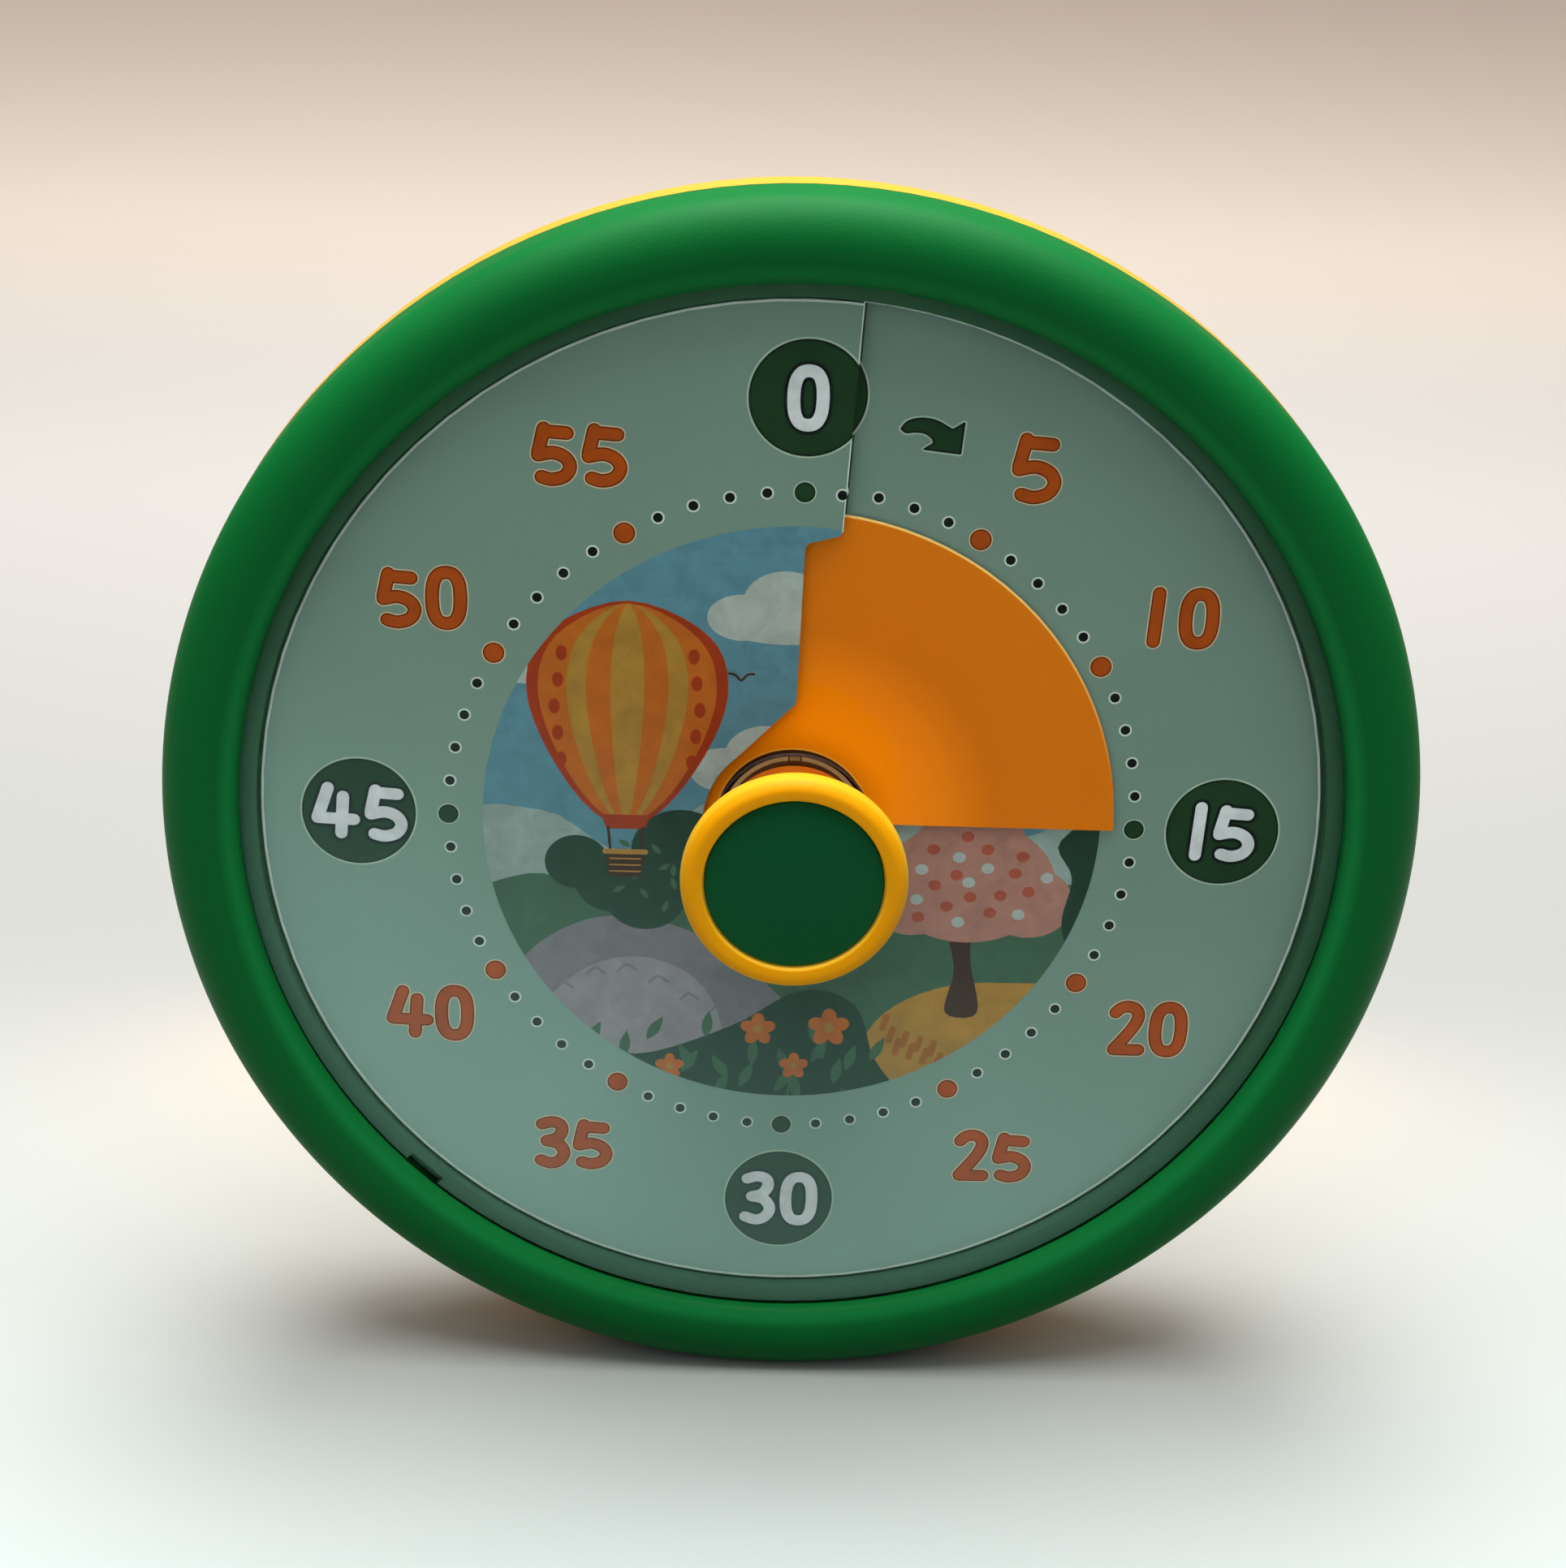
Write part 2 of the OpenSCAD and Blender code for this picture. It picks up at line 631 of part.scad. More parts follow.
module clutch_spring() color([0.75, 0.76, 0.78]) stand() difference() {
    seat_z = main_z - wheel_t - clutch_t;
    union() {
        rod(arbor_flange_r + 0.2, seat_z, seat_z + leaf_t);
        for (a = [0:120:240]) rotate(a) translate([0, -leaf_w / 2, seat_z]) {
            cube([arbor_r + leaf_reach, leaf_w, leaf_t]);
            translate([arbor_r + leaf_reach - 1, 0, 0]) cube([1, leaf_w, clutch_t]);
        }
    }
    rod(arbor_r + press_gap, seat_z - past, main_z);
}

module second_wheel() color([0.92, 0.9, 0.82]) stand() translate(second_at) difference() {
    union() {
        gear(pinion_teeth, second_clock, second_z, main_z + 0.4, gap = true);
        gear(second_teeth, motor_clock, second_z - second_t, second_z + bite);
        rod(pivot_r, move_end + end_play, move_front - end_play);
        rod(second_hub_r, main_z + bite, move_inner - end_play / 2);
        rod(second_hub_r, move_back + bite, second_z - second_t + 0.1);
    }
    for (a = [0:72:288]) rotate(a) translate([gear_m * second_teeth * 0.31, 0])
        rod(gear_m * second_teeth * 0.09, second_z - second_t - past, second_z + past, $fn = 48);
}

module motor_pinion() color([0.85, 0.72, 0.4]) stand() translate(motor_at) {
    gear(pinion_teeth, motor_clock, motor_front + 0.3, second_z + 0.4, gap = true);
    rod(pivot_r, motor_front - 2.5, second_z + 1.2);
}

module motor_can() color([0.66, 0.67, 0.68]) stand() translate(motor_at) difference() {
    union() {
        rod(motor_r, move_back, motor_front);
        for (x = [-1, 1]) translate([x * motor_r, 0]) rod(lug_r, move_back, move_back + lug_t, $fn = 48);
    }
    rod(pivot_r + fit_gap, motor_front - 3, motor_front + past);
}

module movement_plate() color([0.86, 0.86, 0.84]) stand() difference() {
    round_slab([move_side / 2, move_side / 2], corner_r, move_inner, move_front);
    rod(bush_r + press_gap, move_inner - past, move_front + past);
    at_move_screws() rod(small_r + small_gap, move_inner - past, move_front + past, $fn = 48);
    translate(second_at) rod(pivot_r + fit_gap, move_inner - past, move_front + past, $fn = 48);
}

module movement_cover() color([0.82, 0.82, 0.8]) stand() difference() {
    half = move_side / 2;
    round_slab([half, half], corner_r, move_end, move_inner);
    difference() {
        round_slab([half - move_wall, half - move_wall], corner_r - 1, move_back, move_inner + past);
        at_move_screws() rod(boss_r, move_back - past, move_inner + 2 * past, $fn = 48);
    }
    at_move_screws() rod(small_r + small_gap, move_end - past, move_inner + past, $fn = 48);
    at_move_screws() rod(small_head_r + post_gap, move_end - past, move_seat_z, $fn = 48);
    rod(arbor_r + fit_gap, move_end - past, move_back + past);
    translate(second_at) rod(pivot_r + fit_gap, move_end - past, move_back + past, $fn = 48);
}

module movement_screws() color([0.7, 0.7, 0.72]) stand() at_move_screws()
    screw(small_r, small_head_r, small_head_t, move_seat_z, move_tip_z - move_seat_z);

module bezel_screws() color([0.7, 0.7, 0.72]) stand() at_posts()
    screw(small_r, small_head_r, small_head_t, plate_back, plate_t + small_reach);

module along_x(x0, r, length, fn = 48) translate([x0, 0, 0]) rotate([0, 90, 0])
    cylinder(r = r, h = length, $fn = fn);

module at_cell() translate([0, cell_y, cell_z]) children();

module battery_cell() color([0.18, 0.2, 0.24]) stand() at_cell()
    translate([cell_x, 0, 0]) rotate([0, 90, 0]) rotate_extrude() polygon([
        [0, 0], [cell_r - 1.4, 0], [cell_r - 1.4, jacket_t], [cell_r - 0.4, jacket_t], [cell_r, 0.7],
        [cell_r, cell_l - 1.8], [cell_r - jacket_t, cell_l - 1.4], [cell_r - jacket_t, cell_l - 1],
        [cell_r, cell_l - 0.6], [cell_r - 0.5, cell_l], [button_r, cell_l],
        [button_r, cell_l + button_l - 0.2], [button_r - 0.2, cell_l + button_l],
        [0, cell_l + button_l]]);

// Spring-steel tab that hangs from the bay's floor
module contact_tab() translate([0, -tab_w / 2, -tab_drop])
    cube([contact_t, tab_w, bay_floor - cell_z + tab_drop - 0.1]);

module contact_positive() color([0.8, 0.8, 0.78]) stand() at_cell()
    translate([bay_half[0] - end_gap - contact_t, 0, 0]) contact_tab();

// Wire of a conical spring, swept round a helix along x
module coil(x0, x1, r0, r1, wire, turns) {
    n = 16 * turns;
    sides = 6;
    points = [for (i = [0:n]) let (t = i / n, a = 360 * turns * t, r = r0 + (r1 - r0) * t)
        each [for (k = [0:sides - 1]) let (b = 360 * k / sides, q = r + wire * cos(b))
            [x0 + (x1 - x0) * t + wire * sin(b), q * cos(a), q * sin(a)]]];
    walls = [for (i = [0:n - 1], k = [0:sides - 1]) let (p = i * sides + k, q = i * sides + (k + 1) % sides)
        each [[p, q, p + sides], [q, q + sides, p + sides]]];
    first = [for (k = [sides - 1:-1:0]) k];
    last = [for (k = [0:sides - 1]) n * sides + k];
    polyhedron(points, concat(walls, [first, last]), convexity = 8);
}

module contact_spring() color([0.8, 0.8, 0.78]) stand() at_cell()
    translate([-bay_half[0] + end_gap, 0, 0]) {
        contact_tab();
        coil(contact_t + spring_wire + 0.05, spring_room - spring_wire - 0.1, coil_wide, coil_narrow,
            spring_wire, coil_turns);
    }

module circuit_board() color([0.1, 0.42, 0.22]) stand() {
    difference() {
        translate(board_at) slab(board_size / 2, board_front - board_t, board_front);
        at_board_screws()
            rod(small_r + small_gap, board_front - board_t - past, board_front + past, $fn = 48);
    }
    translate(board_at + chip_at) slab(chip_half, board_front - bite, board_front + chip_t);
    translate(board_at + quartz_at) slab(quartz_half, board_front - bite, board_front + quartz_t);
    translate(board_at + capacitor_at)
        rod(capacitor_r, board_front - bite, board_front + capacitor_h, $fn = 48);
}

module board_screws() color([0.7, 0.7, 0.72]) stand() at_board_screws()
    screw(small_r, small_head_r, small_head_t, board_front - board_t, board_t + small_reach);

module buzzer() color([0.1, 0.1, 0.1]) stand() translate(buzzer_at) difference() {
    rod(buzzer_r, back_in, back_in + buzzer_t);
    rod(sound_hole_r, back_in - past, back_in + 1.5, $fn = 48);
}

module switch_body() color([0.2, 0.2, 0.22]) stand() translate(board_at) difference() {
    slab(switch_size / 2, switch_face, board_front - board_t);
    slab(slider_half + [switch_travel / 2 + slider_gap, slider_gap], switch_face - past,
        switch_face + slider_seat + slider_gap);
}

module sound_switch() color([0.12, 0.12, 0.13]) stand()
    translate(board_at + [switch_travel / 2, 0]) {
        slab(slider_half, back_z + slider_sink, switch_face + slider_seat);
        slab(slider_half + slider_flange, back_z + slider_sink, back_z + 4 * slider_sink);
    }

// Outer line of the shell, from its side round the shoulder to the flat back
shell_line = concat([[bezel_r, shell_front], [bezel_r, curve_z]],
    ellipse_arc(flat_r, curve_z, shoulder_w, -shoulder_d, 8, 90, 10), [[0, back_z]]);

module shell_outer() rotate_extrude($fn = 180) polygon(concat([[0, shell_front]], shell_line));

module shell_wall() rotate_extrude($fn = 180) polygon(concat(shell_line, [[0, back_in]],
    ellipse_arc(flat_r, curve_z, shoulder_w - case_wall, -shoulder_d + case_wall, 90, 8, 9),
    [[bezel_in, curve_z], [bezel_in, shell_front]]));

module at_magnets() for (x = [-1, 1], y = [-1, 1])
    translate([x * magnet_at[0], y * magnet_at[1]]) children();

module at_grille() translate(buzzer_at) union() {
    for (ring = [0:2], i = [0:max(0, 6 * ring - 1)]) rotate(i * 60 / max(1, ring))
        translate([ring * grille_pitch, 0]) children();
}

// Draws its children in the plane of y and z, drawn out along x
module drawn_x(x0, x1) translate([x0, 0, 0]) rotate([90, 0, 90]) linear_extrude(x1 - x0) children();

module at_bay() translate([0, cell_y, 0]) children();

// Shallow notch for a fingernail at the door's upper edge
module thumb_notch() translate([0, door_half[1] + 1, back_z - notch_r + notch_deep])
    along_x(-notch_w / 2, notch_r, notch_w);

module ears() for (side = [-1, 1]) drawn_x(side * (ear_in + ear_t / 2) - ear_t / 2,
    side * (ear_in + ear_t / 2) + ear_t / 2) union() {
        translate([hinge_y, hinge_z]) circle(r = hinge_h);
        polygon([[-flat_r + 4, hinge_z - hinge_h], [hinge_y, hinge_z - hinge_h],
            [hinge_y, hinge_z + hinge_h], [-bezel_r + 11, curve_z - 6], [-flat_r + 4, curve_z - 6]]);
    }

module pocket_walls() intersection() {
    shell_outer();
    translate([-ear_in - 2, -bezel_r, back_z])
        cube([2 * ear_in + 4, bezel_r + pocket_top + 2, pocket_z + case_wall - back_z]);
}

module back_shell() color([0.96, 0.7, 0.1]) stand() difference() {
    union() {
        shell_wall();
        tube(bezel_in + bite, bezel_in - land_w, curve_z, plate_back, $fn = 180);
        at_bay() slab(bay_half + [bay_wall, bay_wall], back_in - bite, bay_floor + bay_wall);
        at_bay() slab(door_half + (door_gap + door_frame_t) * [1, 1], back_in - bite, back_in + bay_wall);
        at_case_screws() rod(shell_post_r, back_in - bite, plate_back - boss_h, $fn = 48);
        at_magnets() rod(magnet_r + magnet_wall, back_in - bite, magnet_top + magnet_floor);
        translate(buzzer_at) tube(buzzer_r + buzzer_gap + buzzer_wall_t, buzzer_r + buzzer_gap,
            back_in - bite, back_in + buzzer_wall_h);
        pocket_walls();
        ears();
    }
    at_bay() slab(bay_half, back_z - past, bay_floor);
    at_bay() round_slab(door_half + door_gap * [1, 1], door_corner + door_gap, back_z - past, back_in);
    at_case_screws() rod(head_r + head_gap, back_z - past, head_seat_z, $fn = 48);
    at_case_screws() rod(screw_r + hole_gap, head_seat_z - past, plate_back, $fn = 48);
    at_magnets() rod(magnet_r + magnet_gap, back_z - past, magnet_top);
    at_grille() rod(grille_hole_r, back_z - past, back_in + past / 2, $fn = 24);
    translate(board_at) round_slab(slot_half + slot_dish, 3, back_z - past, back_z + slot_dish_d);
    translate(board_at) slab(slot_half, back_z - past, back_in + past);
    at_posts() rod(small_head_r + post_gap + hole_gap, curve_z, plate_back + past, $fn = 48);
    translate([-ear_in, -bezel_r - 5, back_z - 5])
        cube([2 * ear_in, bezel_r + 5 + pocket_top, pocket_z - back_z + 5]);
    translate([0, hinge_y, hinge_z])
        along_x(-ear_in - ear_t - past, pin_r + press_gap, 2 * (ear_in + ear_t + past));
    at_bay() thumb_notch();
}

module battery_door() color([0.96, 0.7, 0.1]) stand() at_bay() difference() {
    union() {
        round_slab(door_half, door_corner, back_z, back_z + door_t);
        for (x = [-1, 1]) translate([x * bay_half[0] * 0.5, 0, 0])
            slab([door_rib_t / 2, bay_half[1] - 0.8], back_in - bite, cell_z - cell_r - 0.2);
        for (x = [-1, 1]) translate([x * bay_half[0] * 0.6, door_gap + hook[1] - bay_half[1], 0])
            slab([hook[0], hook[1]], back_in - bite, back_in + hook[2]);
        translate([0, bay_half[1] - door_gap - latch[1], 0])
            slab([latch[0], latch[1]], back_in - bite, back_in + latch[2]);
    }
    thumb_notch();
}

module case_screws() color([0.7, 0.7, 0.72]) stand() at_case_screws()
    screw(screw_r, head_r, head_t, head_seat_z, case_tip_z - head_seat_z);

module magnets() color([0.3, 0.3, 0.32]) stand() at_magnets()
    rod(magnet_r, back_z - magnet_proud, magnet_top);

module foot() color([0.95, 0.68, 0.08]) stand() translate([0, hinge_y, hinge_z]) difference() {
    union() {
        translate([0, foot_t - hinge_h + pad_t, -foot_l / 2]) rotate([90, 0, 0])
            round_slab([foot_w / 2, foot_l / 2], foot_corner, 0, foot_t);
        along_x(-foot_w / 2, barrel_r, foot_w);
    }
    for (side = [-1, 1])
        along_x(side * foot_w / 2 - pin_in - past, pin_r + fit_gap, 2 * (pin_in + past));
    translate([0, 0, grip_deep - grip_r - foot_l]) rotate([90, 0, 0]) rod(grip_r, -2 * past, hinge_h + past);
}

module foot_pins() color([0.72, 0.72, 0.74]) stand() translate([0, hinge_y, hinge_z])
    for (side = [-1, 1]) along_x(side > 0 ? foot_w / 2 - pin_in : -ear_in - ear_t + end_play, pin_r,
        pin_in + ear_gap + ear_t - end_play);

module foot_pads() color([0.12, 0.12, 0.12]) stand() for (x = [-1, 1], z = [pad_in + 1, foot_l - pad_in])
    translate([x * (foot_w / 2 - pad_in), -bezel_r, hinge_z - z]) rotate([-90, 0, 0]) rod(pad_r, 0, pad_t);

bezel();
lens();
dial_frame();
dial_card();
countdown_disc();
disc_collar();
knob();
knob_cap();
knob_screw();
arbor();
arbor_bush();
main_wheel();
clutch_spring();
second_wheel();
motor_pinion();
motor_can();
movement_plate();
movement_cover();
movement_screws();
bezel_screws();
circuit_board();
board_screws();
buzzer();
switch_body();
sound_switch();
battery_cell();
contact_positive();
contact_spring();
back_shell();
battery_door();
case_screws();
magnets();
foot();
foot_pins();
foot_pads();
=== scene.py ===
import math
import bmesh
import bpy
import numpy as np
from mathutils import Matrix, Vector
from mathutils.geometry import delaunay_2d_cdt


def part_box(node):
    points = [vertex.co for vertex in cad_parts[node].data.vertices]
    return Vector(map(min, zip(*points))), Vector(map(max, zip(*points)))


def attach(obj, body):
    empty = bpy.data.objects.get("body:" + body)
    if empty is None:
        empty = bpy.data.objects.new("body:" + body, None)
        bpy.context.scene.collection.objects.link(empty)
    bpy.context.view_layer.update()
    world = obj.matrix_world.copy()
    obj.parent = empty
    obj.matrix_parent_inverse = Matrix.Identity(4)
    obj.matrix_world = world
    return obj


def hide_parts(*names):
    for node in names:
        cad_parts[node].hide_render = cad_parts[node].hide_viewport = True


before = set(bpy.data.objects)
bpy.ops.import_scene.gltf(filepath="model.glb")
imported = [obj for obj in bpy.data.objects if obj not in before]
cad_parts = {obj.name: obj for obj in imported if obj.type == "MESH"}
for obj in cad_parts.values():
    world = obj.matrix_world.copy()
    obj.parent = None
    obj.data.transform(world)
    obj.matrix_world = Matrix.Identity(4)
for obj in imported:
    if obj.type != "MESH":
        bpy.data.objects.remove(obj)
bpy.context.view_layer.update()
bpy.ops.object.select_all(action="DESELECT")
scene = bpy.context.scene
scene.view_settings.view_transform = "Standard"

# The timer stands upright, so its axis runs along Y. Dial lengths below are in millimetres:
# x to the right, y towards 12 and z out of the dial, from the middle of the card.
MM = 0.001
LENS_TOP = 3.55     # height of the lens's front face over the middle of the card
low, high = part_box("bezel")
AXIS_Z = (low.z + high.z) / 2
DIAL_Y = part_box("lens")[0].y + LENS_TOP * MM


def place(x, y, z):
    """World point of a dial point."""
    return Vector((x * MM, DIAL_Y - z * MM, AXIS_Z + y * MM))


def polar(clock, r):
    """Dial x and y at a clock angle in degrees and a radius."""
    a = math.radians(clock)
    return r * math.sin(a), r * math.cos(a)


# ---------------------------------------------------------------- helpers for shader nodes

def fill(tree, made, inputs):
    """Sets a node's inputs, each to a plain value or to another node's socket."""
    for name, value in inputs.items():
        if isinstance(value, bpy.types.NodeSocket):
            tree.links.new(value, made.inputs[name])
        else:
            made.inputs[name].default_value = value


def node(tree, kind, inputs=None, **settings):
    """A new shader node with its settings and its inputs."""
    made = tree.nodes.new("ShaderNode" + kind)
    for name, value in settings.items():
        setattr(made, name, value)
    fill(tree, made, inputs or {})
    return made


def calc(tree, operation, *inputs, clamp=False):
    """Result of a math node."""
    return node(tree, "Math", dict(enumerate(inputs)), operation=operation, use_clamp=clamp).outputs[0]


def blend(tree, factor, a, b):
    """Two colours mixed by a factor."""
    return node(tree, "Mix", {"Factor": factor, "A": a, "B": b}, data_type="RGBA").outputs["Result"]


def colour_ramp(tree, value, stops, interpolation="LINEAR"):
    """Colours along a value, from (spot, colour) stops."""
    ramp = node(tree, "ValToRGB", {0: value})
    ramp.color_ramp.interpolation = interpolation
    for i, (spot, colour) in enumerate(stops):
        stop = ramp.color_ramp.elements[i] if i < 2 else ramp.color_ramp.elements.new(spot)
        stop.position = spot
        stop.color = (*colour, 1)
    return ramp.outputs["Color"]


def where(tree):
    """Coordinates on the object."""
    return node(tree, "TexCoord").outputs["Object"]


def material(name):
    """A new material with its node tree and its shader."""
    mat = bpy.data.materials.new(name)
    mat.use_nodes = True
    return mat, mat.node_tree, mat.node_tree.nodes["Principled BSDF"]


# ---------------------------------------------------------------- camera, floor and light

def camera():
    """Looks down on the dial from a little above, with the dial's middle off the axis."""
    wide, focal, shift_x, shift_y = 1932, 3538.7, -11.679, 45.37    # in pixels
    film, reach = 36, 0.41412       # in millimetres and in metres
    tilt, turn, roll = math.radians(22.55), math.radians(-1.44), math.radians(2.14)
    back = Vector((math.sin(turn) * math.cos(tilt), -math.cos(turn) * math.cos(tilt), math.sin(tilt)))
    right = Vector((math.cos(turn), math.sin(turn), 0))
    up = back.cross(right)
    side = right * math.cos(roll) + up * math.sin(roll)
    top = up * math.cos(roll) - right * math.sin(roll)
    bpy.ops.object.camera_add()
    cam = bpy.context.object
    cam.name = "camera"
    turned_to = Matrix((side, top, back)).transposed().to_4x4()
    cam.matrix_world = Matrix.Translation(place(0, 0, 0) + back * reach) @ turned_to
    cam.data.sensor_width = film
    cam.data.lens = focal * film / wide
    cam.data.shift_x = shift_x / wide
    cam.data.shift_y = shift_y / wide
    cam.data.clip_start = 0.01
    scene.camera = cam


def pick_edges(obj, test):
    """Selects only the edges of a mesh in edit mode that pass the test."""
    bpy.ops.mesh.select_mode(type="EDGE")
    bpy.ops.mesh.select_all(action="DESELECT")
    bm = bmesh.from_edit_mesh(obj.data)
    for edge in bm.edges:
        if test(edge):
            edge.select_set(True)
    bmesh.update_edit_mesh(obj.data)


def area_light(name, at, aim, size, power, colour=(1, 0.98, 0.95)):
    """A round soft lamp that looks from one point to another and isn't seen itself."""
    bpy.ops.object.light_add(type="AREA", location=at)
    lamp = bpy.context.object
    lamp.name = name
    lamp.rotation_euler = (Vector(aim) - Vector(at)).to_track_quat("-Z", "Y").to_euler()
    lamp.data.shape = "DISK"
    lamp.data.size = size
    lamp.data.energy = power
    lamp.data.color = colour
    lamp.visible_camera = False


def backdrop_floor():
    """A pale floor that runs up into a wall, greyer and darker near the timer as painted shade."""
    bpy.ops.mesh.primitive_plane_add(size=1)
    floor = bpy.context.object
    floor.name = "floor"
    bpy.ops.object.mode_set(mode="EDIT")
    bpy.ops.transform.resize(value=(9, 3.2, 1))
    bpy.ops.transform.translate(value=(0, 0.4, 0))
    pick_edges(floor, lambda edge: all(v.co.y > 1 for v in edge.verts))
    bend_r, steps, wall = 1.4, 12, 2
    for i in range(steps):
        a, b = math.radians(90 * i / steps), math.radians(90 * (i + 1) / steps)
        move = (0, bend_r * (math.sin(b) - math.sin(a)), bend_r * (math.cos(a) - math.cos(b)))
        bpy.ops.mesh.extrude_region_move(TRANSFORM_OT_translate={"value": move})
    bpy.ops.mesh.extrude_region_move(TRANSFORM_OT_translate={"value": (0, 0, wall)})
    bpy.ops.object.mode_set(mode="OBJECT")
    bpy.ops.object.shade_smooth()

    # The tones are for what looks at the floor. What it lights sees a plain grey
    mat, tree, shader = material("pale_floor")
    split = node(tree, "SeparateXYZ", {0: where(tree)})
    far = node(tree, "MapRange", {"Value": split.outputs["Y"], "From Min": -0.12, "From Max": 2.0})
    tone = colour_ramp(tree, far.outputs[0], [
        (0.0, (0.52, 0.59, 0.59)), (0.06, (0.46, 0.50, 0.49)), (0.12, (0.40, 0.41, 0.40)),
        (0.30, (0.54, 0.52, 0.50)), (0.5, (0.76, 0.66, 0.57)), (1.0, (0.86, 0.71, 0.61))], "EASE")
    path = node(tree, "LightPath").outputs
    seen = calc(tree, "MAXIMUM", path["Is Camera Ray"], path["Is Glossy Ray"])
    seen = calc(tree, "MAXIMUM", seen, path["Is Transmission Ray"])
    fill(tree, shader, {"Base Color": blend(tree, seen, (0.16, 0.16, 0.16, 1), tone),
                        "Roughness": 0.75, "Specular IOR Level": 0.2})
    floor.data.materials.append(mat)


def sky():
    """Light that is strongest from straight above, behind a plain warm grey that is only seen."""
    world = bpy.data.worlds.new("sky")
    scene.world = world
    world.use_nodes = True
    tree = world.node_tree
    height = node(tree, "SeparateXYZ", {0: node(tree, "TexCoord").outputs["Generated"]})
    dome = calc(tree, "MULTIPLY_ADD", calc(tree, "POWER", height.outputs["Z"], 3, clamp=True), 1.2, 0.06)
    glow = tree.nodes["Background"]
    fill(tree, glow, {"Color": (1, 0.98, 0.95, 1), "Strength": dome})
    plain = node(tree, "Background", {"Color": (0.80, 0.75, 0.67, 1), "Strength": 1.0})
    path = node(tree, "LightPath").outputs
    seen = calc(tree, "MAXIMUM", path["Is Camera Ray"], path["Is Transmission Ray"])
    mix = node(tree, "MixShader", {"Fac": seen, 1: glow.outputs[0], 2: plain.outputs[0]})
    fill(tree, tree.nodes["World Output"], {"Surface": mix.outputs[0]})


def lamps():
    """Soft light from above, a weak fill in front and two small orange glows behind the timer."""
    area_light("overhead", (0.0, -0.1, 1.2), (0, 0, 0), 1.0, 14)
    area_light("back_top", (0.0, 0.32, 1.2), (0, 0.08, 0), 0.7, 9)
    for side, name in ((-1, "left_glow"), (1, "right_glow")):
        area_light(name, (side * 0.085, 0.085, 0.05), (side * 0.07, 0.0, 0), 0.06, 0.02, (1, 0.5, 0.2))
    area_light("front_fill", (-0.5, -1.4, 1.0), (0, 0, 0.09), 1.2, 1.5, (0.95, 0.98, 1))


camera()
backdrop_floor()
sky()
lamps()

# ---------------------------------------------------------------- materials

COLOUR, VALUE, VECTOR = "NodeSocketColor", "NodeSocketFloat", "NodeSocketVector"
MID_GREY = (0.5, 0.5, 0.5, 1)


def effect(name, inputs, outputs):
    """An empty node group, the sockets that its inputs arrive at, and its output node."""
    group = bpy.data.node_groups.new(name, "ShaderNodeTree")
    for label, kind, value in inputs:
        group.interface.new_socket(label, in_out="INPUT", socket_type=kind).default_value = value
    for label, kind in outputs:
        group.interface.new_socket(label, in_out="OUTPUT", socket_type=kind)
    return group, group.nodes.new("NodeGroupInput").outputs, group.nodes.new("NodeGroupOutput")


def swing(tree, noise):
    """Noise that swings between -1 and 1."""
    value = node(tree, "TexNoise", noise).outputs[0]
    return node(tree, "MapRange", {"Value": value, "From Min": 0.3, "From Max": 0.7,
                                   "To Min": -1, "To Max": 1}).outputs[0]


def tinted(tree, colour, shade, amount):
    """A colour made lighter and darker by a swing, times an amount."""
    level = calc(tree, "MULTIPLY_ADD", shade, amount, 1)
    return node(tree, "HueSaturation", {"Color": colour, "Value": level}).outputs[0]


def moulded_group():
    """Injection-moulded plastic: slow drift of colour and gloss, and a fine spark grain."""
    group, ins, outs = effect(
        "moulded_plastic",
        [("Colour", COLOUR, MID_GREY), ("Drift", VALUE, 0.12), ("Grain", VALUE, 0.3),
         ("Roughness", VALUE, 0.35)],
        [("Colour", COLOUR), ("Roughness", VALUE), ("Normal", VECTOR)])
    spot = where(group)
    shade = swing(group, {"Vector": spot, "Scale": 28, "Detail": 3})
    fine = node(group, "TexNoise", {"Vector": spot, "Scale": 2600, "Detail": 2})
    bump = node(group, "Bump", {"Strength": ins["Grain"], "Distance": 0.00006, "Height": fine.outputs[0]})
    fill(group, outs, {"Colour": tinted(group, ins["Colour"], shade, ins["Drift"]),
                       "Roughness": calc(group, "MULTIPLY_ADD", shade, 0.06, ins["Roughness"]),
                       "Normal": bump.outputs[0]})
    return group


def faded_group():
    """Painted reflection of the lens: mixes a colour with milky pale green, more towards the foot of the dial
    and to the left.
    """
    group, ins, outs = effect(
        "painted_lens_reflection", [("Colour", COLOUR, MID_GREY), ("Most", VALUE, 0.14)], [("Colour", COLOUR)])
    aim = node(group, "VectorMath", {0: where(group), 1: (-0.35, 0, -1)}, operation="DOT_PRODUCT")
    low_down = node(group, "MapRange", {"Value": aim.outputs["Value"], "From Min": -AXIS_Z - 0.02,
                                        "From Max": -AXIS_Z + 0.085}, interpolation_type="SMOOTHSTEP")
    share = calc(group, "MULTIPLY", low_down.outputs[0], ins["Most"])
    fill(group, outs, {"Colour": blend(group, share, ins["Colour"], (0.36, 0.60, 0.60, 1))})
    return group


